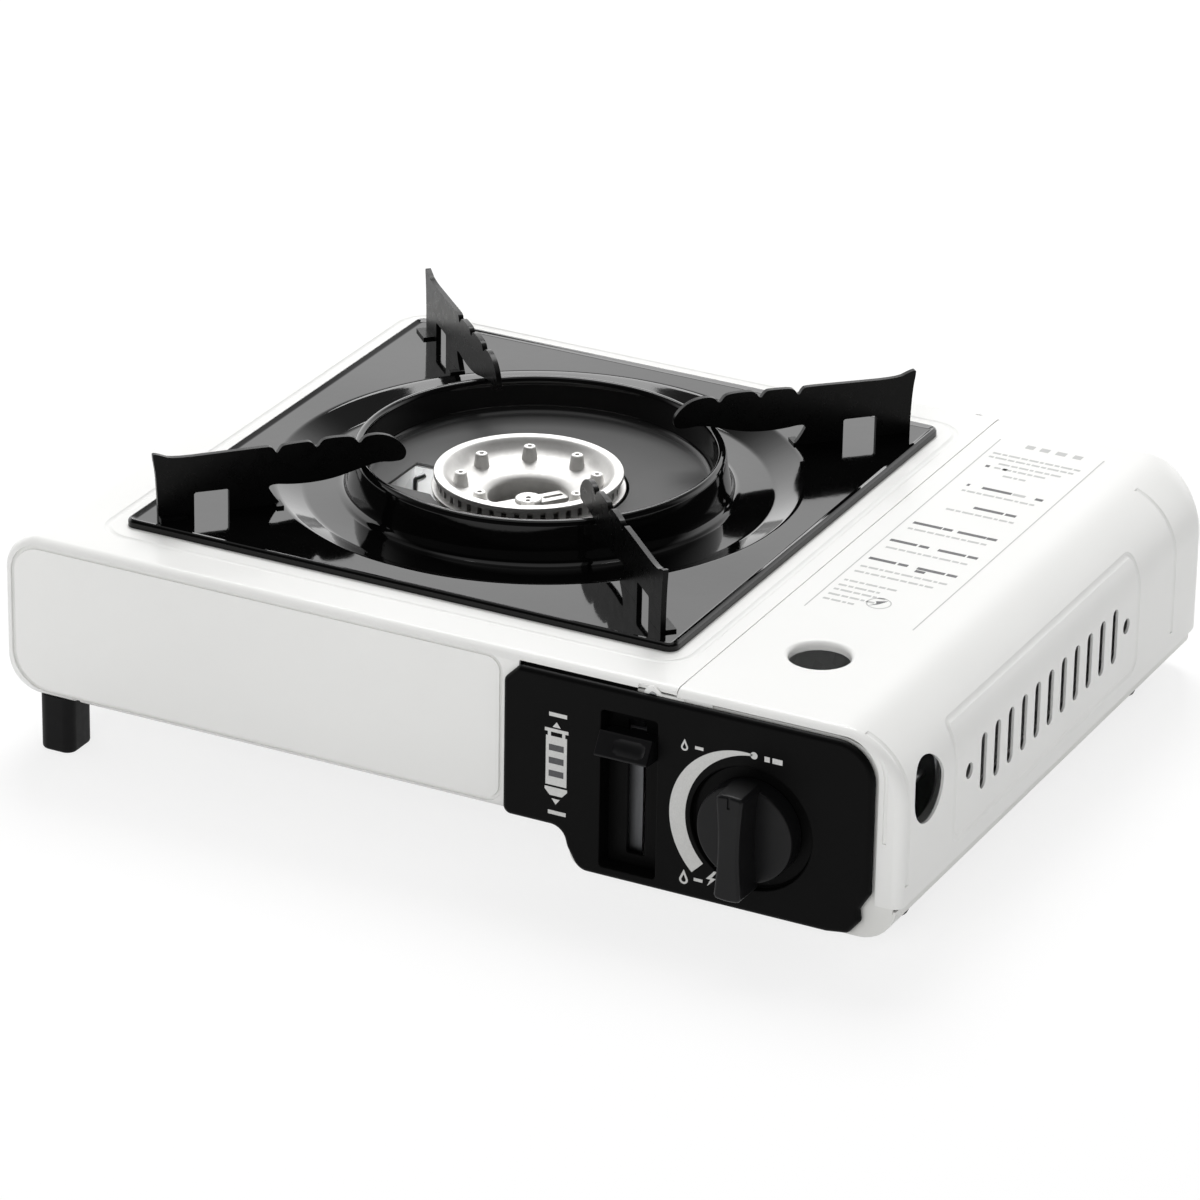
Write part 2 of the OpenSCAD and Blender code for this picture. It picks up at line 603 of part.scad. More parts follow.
module pan_support(angle) color("dimgray") translate([tray_x, mid_y, deck_h]) rotate([0, 0, angle]) {
    f = tray_top - deck_h;
    x0 = support_reach - 26.5;
    difference() {
        slab_xz(support_outline(), -support_t / 2, support_t / 2);
        // Window between the legs
        block([x0, -support_t, f - 1], [x0 + 13, support_t, 10]);
        // Notches in the top edge
        rod_y(support_reach - 44.5, support_h + 1.6, 3.4, -support_t, support_t, 32);
        rod_y(support_reach - 59.5, support_h + 0.4, 1.6, -support_t, support_t, 24);
        rod_y(collar_r + 2.3, support_h + 1.8, 3.4, -support_t, support_t, 32);
    }
    // Feet, welded to the tray's flat
    block([collar_r + 31.8, -support_t / 2, f], [collar_r + 34.5, 5, f + 1]);
    block([support_reach - 10, -support_t / 2, f], [support_reach, 5, f + 1]);
}

module front_left_support() pan_support(225);
module front_right_support() pan_support(315);
module rear_left_support() pan_support(135);
module rear_right_support() pan_support(45);

// ---- Burner ----

// Section of the casting, as radius and height below the rim
function burner_section() = let (r = burner_r) [
    [r - 3.8, -0.6], [r - 3.2, 0], [r - 0.6, 0], [r, -0.6], [r, -1.6], [r - 1.2, -2.2], [r - 1.2, -5.7],
    [r + 0.8, -5.8], [r + 0.8, -6.8], [r - 3.5, -6.8], [r - 3.5, -3.4], [r - 6.2, -6.4], [23, -8.3],
        [sleeve_r, -10.4],
    [sleeve_r, -16], [15, -16], [15, -10.6], [15.6, -9.4], [17.5, -8.4], [22.5, -6.6], [r - 8, -5.6],
        [r - 5.4, -3.2]];

module burner_head() color("silver") translate([burner_x, burner_y, rim_z]) {
    difference() {
        rotate_extrude($fn = 96) polygon(burner_section());
        // Flame ports
        for (i = [0:port_count - 1]) rotate([0, 0, i * 360 / port_count])
            translate([burner_r - 4.2, -0.7, -5.6]) cube([4.2, 1.4, 3.2]);
        // Bores of the nipples
        for (i = [0:nipple_count - 1]) rotate([0, 0, 27 + i * 360 / nipple_count])
            translate([burner_r - 10, 0, -9]) cylinder(h = 8, r = 0.6, $fn = 16);
    }
    for (i = [0:nipple_count - 1]) rotate([0, 0, 27 + i * 360 / nipple_count])
        translate([burner_r - 10, 0, -6.7]) difference() {
            cylinder(h = 5.6, r1 = 3, r2 = 2, $fn = 24);
            translate([0, 0, -1]) cylinder(h = 8, r = 0.6, $fn = 16);
        }
    // Bridge across the middle, with its boss
    rotate([0, 0, 54]) difference() {
        union() {
            block([-15.3, -3.5, -14.5], [15.3, 3.5, -12.2]);
            translate([0, 0, -14.5]) cylinder(h = 3.6, r = 5, $fn = 32);
        }
        translate([0, 0, -16]) cylinder(h = 8, r = 1, $fn = 16);
        block([6, -0.9, -16], [14, 0.9, -10]);
    }
}

// Bowl under the casting and the tube that feeds it
module mixing_tube() color("lightgray") difference() {
    union() {
        translate([burner_x, burner_y, 0]) rotate_extrude($fn = 96) polygon([
            [sleeve_r, bowl_z], [bowl_r, bowl_z], [bowl_r, flange_z - 1], [burner_r, flange_z - 1],
            [burner_r, flange_z], [bowl_r, flange_z], [bowl_r, flange_z + 1.4],
                [bowl_r - 1.4, flange_z + 1.4],
            [bowl_r - 1.4, bowl_z + 1.5], [sleeve_r + 1.5, bowl_z + 1.5], [sleeve_r + 1.5, rim_z - 13],
            [sleeve_r, rim_z - 13]]);
        difference() {
            union() {
                rod_x(burner_y, tube_z, tube_r, burner_x + bowl_r - 3, tube_end_x, 64);
                rod_x(burner_y, tube_z, tube_r + 2, tube_end_x - 6, tube_end_x, 64);
            }
            translate([burner_x, burner_y, 0]) cylinder(h = deck_h, r = bowl_r - 0.5, $fn = 96);
        }
        // Yoke that holds the jet
        for (y = [burner_y - 11.5, burner_y + 9.5])
            block([tube_end_x - 2, y, tube_z - 5], [tube_end_x + 9, y + 2, tube_z + 5]);
        block([tube_end_x + 8, burner_y - 11.5, tube_z - 5],
            [tube_end_x + 10, burner_y + 11.5, tube_z + 5]);
    }
    rod_x(burner_y, tube_z, tube_r - 1.5, burner_x + bowl_r - 5, tube_end_x + 1, 64);
    rod_x(burner_y, tube_z, 3, tube_end_x + 7, tube_end_x + 11, 32);
}

// Brass jet in the mouth of the mixing tube
module gas_jet() color("gold") difference() {
    union() {
        rod_x(burner_y, tube_z, 3, tube_end_x + 4, jet_x, 32);
        rod_x(burner_y, tube_z, 5.5, tube_end_x + 10, jet_x, 6);
        rod_x(burner_y, tube_z, 2, tube_end_x + 1, tube_end_x + 5, 32);
    }
    rod_x(burner_y, tube_z, 0.6, tube_end_x, tube_end_x + 3, 16);
    rod_x(burner_y, tube_z, 1.2, tube_end_x + 2.5, jet_x + 1, 16);
}

// Pipe from the regulator through the partition to the jet
module gas_pipe() color("darkgoldenrod") {
    y0 = front_y + 30;
    x_end = dial_x - 15;
    swept(soft_path([[x_end, y0, gas_z], [x_end - 10, y0, gas_z], [x_end - 10, gas_y, gas_z],
        [jet_x + 8, gas_y, gas_z], [jet_x + 8, gas_y + 40, gas_z + 4], [jet_x + 8, burner_y, tube_z],
        [jet_x, burner_y, tube_z]], 4.9), 2.25, 12);
}

// Galvanised bracket under the bowl, with the upright walls round the electrode
module burner_bracket() color("lightsteelblue") translate([burner_x, burner_y, 0]) difference() {
    union() {
        block([-30, -16, bowl_z - 1], [25, 16, bowl_z]);
        block([-30, -16, belly_z], [25, -15, bowl_z]);
        block([-30, 15, belly_z], [25, 16, bowl_z]);
        block([-30, -27, belly_z], [25, -15, belly_z + 1]);
        block([-30, 15, belly_z], [25, 27, belly_z + 1]);
        // Upright wall and its wing
        block([-48, -0.9, belly_z], [-36, 0.1, well_z - 1.3 - tray_sheet * 0.3]);
        block([-36.5, -0.9, belly_z + 12], [-20, 0.1, bowl_z - 0.5]);
        block([-48, -0.9, belly_z], [-36, 9, belly_z + 1]);
        block([-48, -25, bowl_z + 4], [-47, 0.1, well_z - 1.3 - tray_sheet * 0.3]);
    }
    translate([0, 0, bowl_z - 3]) cylinder(h = 6, r = 15, $fn = 48);
    for (p = bracket_screw_places) translate([-burner_x, -burner_y, 0])
        rod_z(p[0], p[1], 1.5 + hole, belly_z - 1, belly_z + 2, 24);
}

module heat_shield() color("silver") translate([burner_x, burner_y, 0]) difference() {
    union() {
        block([-34, -50, belly_z + 6], [50, 50, belly_z + 7]);
        block([-34, -50, belly_z], [50, -49, belly_z + 6.5]);
        block([-34, 49, belly_z], [50, 50, belly_z + 6.5]);
    }
    for (y = [-16.5, 14.5]) block([-31, y, belly_z + 5], [26, y + 2, belly_z + 8]);
}

// Ceramic rod and wire tip beside the ports
module spark_electrode() color("ivory") {
    x = burner_x - 41;
    y = burner_y - 12;
    rod_z(x, y, 2.5, deck_h - 32, deck_h - 10, 32);
    block([burner_x - 47, y - 3, deck_h - 24], [x, y + 3, deck_h - 20]);
    swept(soft_path([[x, y, deck_h - 10.5], [x, y, deck_h - 2.8], [x + 3, y + 2.5, deck_h - 1.4]], 1.5),
        0.8, 8);
}

module ignition_lead() color("dimgray") {
    x = burner_x - 41;
    y = burner_y - 12;
    swept(soft_path([[x, y, deck_h - 32], [x, y, belly_z + 3], [x, lead_y + 16, belly_z + 3],
        [step_x + 10, lead_y, belly_z + 3], [partition_x - 6, lead_y, igniter_z],
            [igniter_x, lead_y, igniter_z],
        [igniter_x, front_y + 32, igniter_z]], 3), 1.2, 8);
}

module piezo_igniter() color("dimgray") {
    rod_y(igniter_x, igniter_z, igniter_r, front_y + wall_in + sheet, front_y + 26, 48);
    rod_y(igniter_x, igniter_z, igniter_r - 2, front_y + 26, front_y + 32, 48);
}

// ---- Regulator and clamp ----

module regulator() color("silver") difference() {
    union() {
        rod_y(cart_x, cart_z, regulator_r, front_y + 22, flange_y, 96);
        rod_y(dial_x, dial_z, housing_r, front_y + 7, flange_y, 64);
        block([cart_x - 30, flange_y, floor_z], [cart_x + 28, flange_y + flange_t, cart_z + 20]);
        block([cart_x - 30, flange_y + 1, floor_z], [cart_x + 28, flange_y + 16, floor_z + 2]);
        rod_y(cart_x, cart_z, nose_r, flange_y + 1, nose_y, 64);
        // Outlet for the gas pipe
        rod_x(front_y + 30, gas_z, 4, dial_x - 15, cart_x - 12, 32);
    }
    rod_y(cart_x, cart_z, socket_r, nose_y - socket_depth, nose_y + 1, 64);
    rod_y(cart_x, cart_z, 2.2, nose_y - socket_depth - 6, nose_y, 32);
    rod_y(dial_x, dial_z, spindle_r + run, front_y + 6, front_y + 17, 48);
    rod_x(front_y + 30, gas_z, 1.5, dial_x - 16, dial_x - 8, 24);
    for (p = regulator_screw_places) rod_z(p[0], p[1], 1.5 + hole, floor_z - 1, floor_z + 3, 24);
    // Room for the front foot's peg
    for (p = right_foot_places) rod_z(p[0], p[1], pad_peg_r + loose, floor_z - 1, floor_z + 2 + loose, 32);
}

module regulator_cap() color("darkgray") difference() {
    union() {
        rod_y(cart_x, cart_z, regulator_r - 1, front_y + 19, front_y + 22, 96);
        rod_y(cart_x + 8, cart_z + 3, 8, front_y + 15, front_y + 22, 48);
    }
    rod_y(dial_x, dial_z, housing_r, front_y + 10, front_y + 23, 64);
}

module guide_rods() color("silver") {
    for (x = [cart_x - rod_dx, cart_x + rod_dx]) rod_y(x, cart_z, rod_r, flange_y + flange_t,
        flange_y + 28, 32);
}

// Fork that grips the cartridge's collar, with the bar and pin that the cam moves
module clamp_fork() color("slategray") {
    difference() {
        union() {
            rod_y(cart_x, cart_z, 30, fork_y, fork_y + fork_t, 96);
            block([fork_bar_x, fork_y, cam_pin_z - 4], [cart_x - 20, fork_y + fork_t, cam_pin_z + 4]);
        }
        rod_y(cart_x, cart_z, 18, fork_y - 1, fork_y + fork_t + 1, 64);
        block([cart_x - 18, fork_y - 1, cart_z], [cart_x + 18, fork_y + fork_t + 1, cart_z + 31]);
        for (x = [cart_x - rod_dx, cart_x + rod_dx]) rod_y(x, cart_z, rod_r + run, fork_y - 1,
            fork_y + fork_t + 1, 32);
    }
    block([fork_bar_x, cam_pin_y - 3, cam_pin_z - 4], [fork_bar_x + 2, fork_y + fork_t, cam_pin_z + 4]);
    rod_x(cam_pin_y, cam_pin_z, cam_pin_r, carriage_x1 - 0.7, fork_bar_x + 1, 32);
}

// ---- Controls ----

module valve_spindle() color("gold") {
    rod_y(dial_x, dial_z, spindle_r, front_y - 14, front_y + 16, 48);
    rod_y(dial_x, dial_z, 10, front_y + 3.2, front_y + 6.2, 64);
    // Lobe that trips the igniter
    intersection() {
        rod_y(dial_x, dial_z, 15.5, front_y + 3.2, front_y + 6.2, 64);
        slab_xz([[dial_x, dial_z], [dial_x + 7, dial_z + 20], [dial_x - 7, dial_z + 20]], front_y + 3.2,
            front_y + 6.2);
    }
}

// Outline of the control panel, with the step that follows the base pan
function panel_outline() = let (x1 = right_x - lid_band - 0.5, top = deck_h - lid_brow - loose,
    low = bay_h + 0.5) concat(
    [[seam_x - 65.5, belly_h + 3.1], [seam_x - 65.5, top - 6], [seam_x - 59.5, top]],
    arc(x1 - lid_brow_r, top - lid_brow_r, lid_brow_r, 90, 0),
    [[x1, low + 18], [x1 - 4, low + 10.7], [x1 - 3.3, low + 7], [x1 - 6.5, low + 4], [x1 - 14, low + 0.5]],
    [[x1 - 20, low], [step_x + 8, low], [step_x + 5, low + 0.4], [step_x + 0.7, low + 5],
        [step_x - 1, low + 10.4],
     [step_x - 2.5, belly_h - 1.5], [step_x - 6, belly_h + 0.1], [seam_x - 62.5, belly_h + 0.1]]);

module control_panel() color("black") difference() {
    union() {
        slab_xz(panel_outline(), panel_y, panel_back);
        rod_y(dial_x, dial_z, dial_r + 1.5, panel_back - 0.5, front_y + 2, 96);
        block([lever_x - channel_w / 2 - 1.5, panel_back - 0.5, channel_bottom - 1.5],
              [lever_x + channel_w / 2 + 1.5, channel_floor + 1.5, channel_top + 1.5]);
        // Screw bosses
        for (p = panel_screw_places) rod_y(p[0], p[1], 3.2, panel_back - 0.5, front_y + wall_in, 32);
        rod_y(shell_screw_place[0], shell_screw_place[1], 2.6, panel_back - 0.5, front_y, 32);
    }
    // Dial recess and the hole for the spindle
    rod_y(dial_x, dial_z, dial_r, panel_y - 1, front_y + 0.5, 96);
    rod_y(dial_x, dial_z, spindle_r + loose, front_y - 1, front_y + 3, 48);
    // Lever channel and the slot in its floor
    block([lever_x - channel_w / 2, panel_y - 1, channel_bottom],
        [lever_x + channel_w / 2, channel_floor, channel_top]);
    block([slot_x0, channel_floor - 1, channel_bottom + 4],
        [slot_x1, channel_floor + 3, channel_top - 4.4]);
    // Pilot holes
    for (p = concat(panel_screw_places, [shell_screw_place]))
        rod_y(p[0], p[1], 1.5 + hole, panel_y + 1, front_y + 3, 24);
}

module control_knob() color("black") difference() {
    union() {
        rod_y(dial_x, dial_z, knob_r, front_y - 8, front_y + 0.2, 96);
        intersection() {
            rod_y(dial_x, dial_z, grip_len / 2, front_y - knob_proud, front_y - 1, 96);
            block([dial_x - grip_w / 2, front_y - knob_proud, dial_z - grip_len / 2 - 1],
                  [dial_x + grip_w / 2, front_y - 1, dial_z + grip_len / 2 + 1]);
        }
    }
    rod_y(dial_x, dial_z, spindle_r, front_y - 14, front_y + 1, 48);
    // Line that shows the setting
    block([dial_x - 0.6, front_y - knob_proud - 1, dial_z + 4],
        [dial_x + 0.6, front_y - knob_proud + 0.5, dial_z + 22]);
}

module lever_guide() color("gray") {
    x0 = guide_x - guide_w / 2;
    x1 = guide_x + guide_w / 2;
    block([x0, guide_y, floor_z], [x1, guide_y + guide_t, deck_h - 9.4]);
    block([x0, front_y + wall_in + sheet, deck_h - 10.6], [x1, guide_y + guide_t, deck_h - 9.4]);
    block([x0, guide_y, floor_z], [x1, guide_y + 8, floor_z + 1.2]);
}

// Slide behind the channel, with the cam plate that moves the clamp fork
module lever_carriage() color("dimgray") {
    g = guide_w / 2 + 0.1;
    difference() {
        block([carriage_x0, carriage_y, handle_z - handle_h], [carriage_x1, carriage_y + 7.5, handle_z]);
        block([guide_x - g, guide_y - 0.1, handle_z - handle_h - 1],
            [guide_x + g, guide_y + guide_t + 0.1, handle_z + 1]);
    }
    difference() {
        block([carriage_x1, carriage_y, cam_pin_z - cam_pin_r - 1.4],
              [carriage_x1 + cam_t, cam_pin_y + 4.5, cam_pin_z + lever_travel + cam_pin_r + 1.4]);
        // Slanted slot, as long as the lever's travel
        slab_yz(cam_slot(), carriage_x1 - 1, carriage_x1 + cam_t + 1);
    }
}

function cam_slot() = let (w = cam_pin_r + 0.1, dz = lever_travel + 0.4) [
    [cam_pin_y - w, cam_pin_z - w], [cam_pin_y + w, cam_pin_z - w], [cam_pin_y + w, cam_pin_z + 0.4],
    [cam_pin_y - clamp_travel + w, cam_pin_z + dz], [cam_pin_y - clamp_travel + w,
        cam_pin_z + lever_travel + w],
    [cam_pin_y - clamp_travel - w, cam_pin_z + lever_travel + w],
        [cam_pin_y - clamp_travel - w, cam_pin_z + dz - 0.8],
    [cam_pin_y - w, cam_pin_z - 0.4]];

module lever_handle() color("black") {
    x0 = lever_x - channel_w / 2 + 0.7;
    x1 = lever_x + channel_w / 2 - 0.7;
    y0 = panel_y - handle_proud;
    z0 = handle_z - handle_h;
    y1 = channel_floor - loose;
    // Ledge for the thumb
    slab_yz([[y1, handle_z], [y1, z0], [panel_y - 1, z0], [y0, z0 + 0.8], [y0, z0 + 2],
             [panel_y - 2.6, handle_z + 1.4], [panel_y - 1.8, handle_z + 2], [panel_y + 1, handle_z]],
        x0, x1);
    // Neck through the slot
    block([slot_x0 + slot_room, y1 - 1, z0 + 1], [slot_x1 - slot_room, carriage_y, handle_z - 0.4]);
}

// ---- Cartridge bay ----

module cartridge_cradle() color("gainsboro") {
    r = cart_z - floor_z;
    slab_xz(concat(arc(cart_x, cart_z, r, 220, 320, 20), arc(cart_x, cart_z, r - 1, 320, 220, 20)),
        cradle_y0, cradle_y1);
    block([cart_x - 12, cradle_y0, floor_z], [cart_x + 12, cradle_y1, floor_z + 0.9]);
}

// Leaf spring behind the cartridge
module cartridge_spring() color("silver") {
    y = back_y - wall_in - sheet;
    slab_yz([[y, cart_z + 26], [y - 1, cart_z + 26], [y - 1, cart_z + 18], [y - 17, cart_z + 6],
        [y - 17, cart_z - 6],
             [y - 1, cart_z - 18], [y - 1, cart_z - 26], [y, cart_z - 26], [y, cart_z - 17.5],
                 [y - 16, cart_z - 5.5],
             [y - 16, cart_z + 5.5], [y, cart_z + 17.5]], cart_x - 8, cart_x + 8);
}

// ---- Feet and screws ----

module tall_foot(p) color("black") difference() {
    slab_xy(round_rect(p[0] - foot_w / 2, p[1] - foot_d / 2, p[0] + foot_w / 2, p[1] + foot_d / 2, 4), 0,
        belly_h);
    rod_z(p[0], p[1], 3.4, -1, 10, 32);
    rod_z(p[0], p[1], 1.5 + hole, 9, belly_h + 1, 24);
}

module low_foot(p) color("black") {
    rod_z(p[0], p[1], pad_r, 0, bay_h, 48);
    rod_z(p[0], p[1], pad_peg_r, bay_h - eps, floor_z + 2, 32);
}

module front_left_foot() tall_foot(left_foot_places[0]);
module rear_left_foot() tall_foot(left_foot_places[1]);
module front_right_foot() low_foot(right_foot_places[0]);
module rear_right_foot() low_foot(right_foot_places[1]);

module foot_screws() color("silver") for (p = left_foot_places) screw_z(p[0], p[1], 10, belly_z - 7, 1);

module panel_screws() color("silver") {
    y = front_y + wall_in + sheet;
    for (p = panel_screw_places) {
        rod_y(p[0], p[1], 2.8, y, y + 1.6, 24);
        rod_y(p[0], p[1], 1.5, front_y - 1, y, 24);
    }
    rod_y(shell_screw_place[0], shell_screw_place[1], 2.8, front_y + sheet, front_y + sheet + 1.6, 24);
    rod_y(shell_screw_place[0], shell_screw_place[1], 1.5, front_y - 1, front_y + sheet, 24);
}

module regulator_screws() color("silver") for (p = regulator_screw_places) screw_z(p[0], p[1], floor_z + 2,
    3.6, -1);

module bracket_screws() color("silver") for (p = bracket_screw_places) screw_z(p[0], p[1], belly_z + 1,
    3.6, -1);

module base_screws() color("silver") for (p = base_screw_places) screw_z(p[0], p[1], belly_h, 5, 1);

top_shell();
base_pan();
partition();
drip_tray();
front_left_support();
front_right_support();
rear_left_support();
rear_right_support();
burner_head();
mixing_tube();
burner_bracket();
heat_shield();
gas_jet();
gas_pipe();
spark_electrode();
ignition_lead();
piezo_igniter();
regulator();
regulator_cap();
valve_spindle();
guide_rods();
clamp_fork();
lever_guide();
lever_carriage();
lever_handle();
control_panel();
control_knob();
cartridge_lid();
front_hinge_pin();
rear_hinge_pin();
cartridge_cradle();
cartridge_spring();
front_left_foot();
rear_left_foot();
front_right_foot();
rear_right_foot();
foot_screws();
panel_screws();
regulator_screws();
bracket_screws();
base_screws();
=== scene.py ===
"""The finished look of a portable butane stove: white steel, black enamel, cast aluminium and plastic.

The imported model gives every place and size. Lengths in this file are millimetres until a mesh is made.
"""
import json
from functools import cache
from math import atan2, cos, degrees, pi, radians, sin, sqrt
from types import SimpleNamespace

import bmesh
import bpy
from mathutils import Matrix, Vector

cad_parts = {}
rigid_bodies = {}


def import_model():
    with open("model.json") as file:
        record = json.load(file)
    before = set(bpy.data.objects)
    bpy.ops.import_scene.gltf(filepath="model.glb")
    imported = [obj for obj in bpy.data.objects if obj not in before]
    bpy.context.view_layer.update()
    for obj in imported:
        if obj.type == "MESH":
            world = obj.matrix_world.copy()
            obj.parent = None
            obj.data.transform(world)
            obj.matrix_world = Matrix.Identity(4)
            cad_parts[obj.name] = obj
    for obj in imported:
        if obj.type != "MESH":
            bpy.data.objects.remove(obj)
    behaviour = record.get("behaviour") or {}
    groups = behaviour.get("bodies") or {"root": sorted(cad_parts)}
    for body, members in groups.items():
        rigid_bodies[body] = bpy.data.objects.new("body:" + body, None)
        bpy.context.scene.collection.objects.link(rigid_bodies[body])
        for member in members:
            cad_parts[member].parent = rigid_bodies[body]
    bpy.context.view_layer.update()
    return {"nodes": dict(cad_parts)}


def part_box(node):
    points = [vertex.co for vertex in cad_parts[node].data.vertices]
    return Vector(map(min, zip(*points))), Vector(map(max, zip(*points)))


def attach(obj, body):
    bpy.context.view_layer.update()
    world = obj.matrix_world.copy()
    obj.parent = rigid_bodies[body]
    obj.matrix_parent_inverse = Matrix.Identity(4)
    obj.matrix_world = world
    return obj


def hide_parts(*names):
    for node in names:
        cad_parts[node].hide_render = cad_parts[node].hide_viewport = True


bl_info = {
    "name": "Portable butane stove",
    "version": (1, 0, 0),
    "blender": (4, 5, 0),
    "location": "View3D > Sidebar > Stove",
    "description": "Builds the finished pieces of a portable butane stove round its packed frame",
    "category": "Object",
}

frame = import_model()
MM = 0.001


def span(node):
    """Low and high corners of a node, in millimetres."""
    low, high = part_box(node)
    return low / MM, high / MM


def middle(node):
    """Middle of a node's box, in millimetres."""
    low, high = span(node)
    return (low + high) / 2


(LEFT, FRONT, BELLY), (SEAM, BACK, DECK) = span("top_shell")
SKIRT = span("cartridge_lid")[0].z
RIGHT = span("cartridge_lid")[1].x
(PANEL_LEFT, PANEL_Y, PANEL_LOW), (PANEL_RIGHT, _, PANEL_TOP) = span("control_panel")
TRAY = middle("drip_tray")
TRAY_HALF = TRAY.x - span("drip_tray")[0].x
COLLAR_TOP = span("drip_tray")[1].z
BURNER = middle("burner_head")
RIM = span("burner_head")[1].z
DIAL = middle("control_knob")
HANDLE = middle("lever_handle")
HINGE = middle("front_hinge_pin")
MIDDLE_Y = TRAY.y
STEP = SEAM - 40.5       # where the base drops to the cartridge bay


# ---- Sizes and colours that a user would change ----

def linear(code):
    """Turns an sRGB hex colour into the linear colour that a shader takes."""
    parts = [int(code[i:i + 2], 16) / 255 for i in (0, 2, 4)]
    return [c / 12.92 if c <= 0.04045 else ((c + 0.055) / 1.055) ** 2.4 for c in parts]


def length(name, description, default):
    """A length property whose default is given in millimetres."""
    return bpy.props.FloatProperty(name=name, description=description, default=default * MM, min=0.0,
                                   precision=5, unit="LENGTH")


def count(name, description, default):
    """A property that counts like parts."""
    return bpy.props.IntProperty(name=name, description=description, default=default, min=1)


def colour(name, description, default):
    """A colour property whose default is given as an sRGB hex colour."""
    return bpy.props.FloatVectorProperty(name=name, description=description, default=linear(default),
                                         size=3, min=0.0, max=1.0, subtype="COLOR")


class StoveSizes(bpy.types.PropertyGroup):
    """Sizes of the finished pieces that the frame's boxes don't give."""
    sheet: length("Sheet", "Thickness of the pressed steel", 1.0)
    side_radius: length("Side radius", "Radius of the housing's left edges", 14.0)
    edge_radius: length("Edge radius", "Radius where the deck turns into the front and back", 4.0)
    lid_radius: length("Lid radius", "Radius of the lid's long right edge", 26.0)
    lid_corner: length("Lid corner", "Plan radius of the lid's rear right corner", 15.0)
    lid_rear: length("Lid rear", "Radius of the lid's rear top edge", 5.0)
    groove_radius: length("Groove radius", "Radius of the tool for the narrow grooves", 0.8)
    groove_depth: length("Groove depth", "Depth of the groove round the lid's opening", 0.75)
    swage_radius: length("Swage radius", "Radius of the tool for the broad lines", 2.2)
    swage_depth: length("Swage depth", "Depth of the broad lines", 0.5)
    slot_width: length("Slot width", "Width of a vent slot", 5.0)
    trough_radius: length("Trough radius", "Outer radius of the tray's trough", 98.6)
    support_thickness: length("Support thickness", "Thickness of the pan supports", 2.0)
    burner_radius: length("Burner radius", "Outer radius of the burner's rim", 35.0)
    port_gap: length("Port gap", "Width of a flame port", 1.9)
    panel_edge: length("Panel edge", "Radius of the control panel's front edge", 1.9)
    dial_radius: length("Dial radius", "Radius of the recess round the knob", 23.0)
    knob_radius: length("Knob radius", "Radius of the knob's disc", 18.3)
    grip_width: length("Grip width", "Width of the knob's grip bar at its ends", 11.0)
    print_thickness: length("Print thickness", "Thickness of the printed marks", 0.05)
    port_count: count("Flame ports", "Number of flame ports", 44)
    nipple_count: count("Nipples", "Number of drilled nipples", 8)
    slot_count: count("Vent slots", "Number of slots in the lid", 11)


class StoveColours(bpy.types.PropertyGroup):
    """Colours of the stove's finishes."""
    white_paint: colour("White paint", "Powder coat on the shell and the lid", "EDEDEB")
    white_underside: colour("Underside", "Powder coat on the base pan", "E6E6E3")
    galvanised_sheet: colour("Galvanised", "Zinc coated sheet", "F0F1F1")
    bright_sheet: colour("Bright sheet", "Bare rolled sheet", "C9C8C4")
    black_enamel: colour("Black enamel", "Vitreous enamel on the drip tray", "070707")
    black_support_enamel: colour("Support enamel", "Enamel on the pan supports", "080808")
    cast_aluminium: colour("Cast aluminium", "Burner and mixing tube", "DFDEDC")
    brass: colour("Brass", "Jet, pipe and valve spindle", "C9A35A")
    white_ceramic: colour("Ceramic", "Electrode's insulator", "EFEBDF")
    lead_insulation: colour("Lead", "Silicone insulation of the ignition lead", "8C8A86")
    igniter_plastic: colour("Igniter plastic", "Body of the spark generator", "2B2B2D")
    die_cast_zinc: colour("Die-cast zinc", "Regulator and its cap", "A9A9A6")
    plated_steel: colour("Plated steel", "Screws, pins, rods and springs", "BDBFC1")
    # The strip's colour is darker than plated steel: painted shade of the lever's channel
    worn_plating: colour("Worn plating", "Strip behind the lever", "77787A")
    carriage_plastic: colour("Carriage plastic", "Slide behind the lever", "3A3A3C")
    panel_plastic: colour("Panel plastic", "Control panel", "0A0A0A")
    knob_plastic: colour("Knob plastic", "Knob and lever handle", "131314")
    foot_plastic: colour("Foot plastic", "Tall feet", "0B0B0C")
    foot_rubber: colour("Foot rubber", "Low feet", "151515")
    panel_print: colour("Panel print", "Marks on the control panel", "D2D2D0")
    dark_print: colour("Dark print", "Heavy bars of the lid's print", "515153")
    faint_print: colour("Faint print", "Fine bars and frame of the lid's print", "BEBEBD")


def sizes():
    """The sizes of the scene, lengths in millimetres and counts as they are."""
    group = bpy.context.scene.stove_sizes
    values = {name: getattr(group, name) for name in StoveSizes.__annotations__}
    return SimpleNamespace(**{n: v / MM if isinstance(v, float) else v for n, v in values.items()})


# ---- Nodes and finishes ----

def add(tree, kind, settings=None, inputs=None):
    """Adds a node. An input is named or numbered, and is given a value or another node's output."""
    node = tree.nodes.new(kind)
    for name, value in (settings or {}).items():
        setattr(node, name, value)
    for key, value in (inputs or {}).items():
        socket = node.inputs[key] if isinstance(key, int) else next(
            s for s in node.inputs if s.name == key and s.enabled)
        if isinstance(value, bpy.types.NodeSocket):
            tree.links.new(value, socket)
        else:
            socket.default_value = value
    return node


def blank_tree(owner):
    """The emptied node tree of a material or a world."""
    owner.use_nodes = True
    owner.node_tree.nodes.clear()
    return owner.node_tree


def calculate(tree, operation, *values):
    """Output of a math node."""
    return add(tree, "ShaderNodeMath", {"operation": operation}, dict(enumerate(values))).outputs[0]


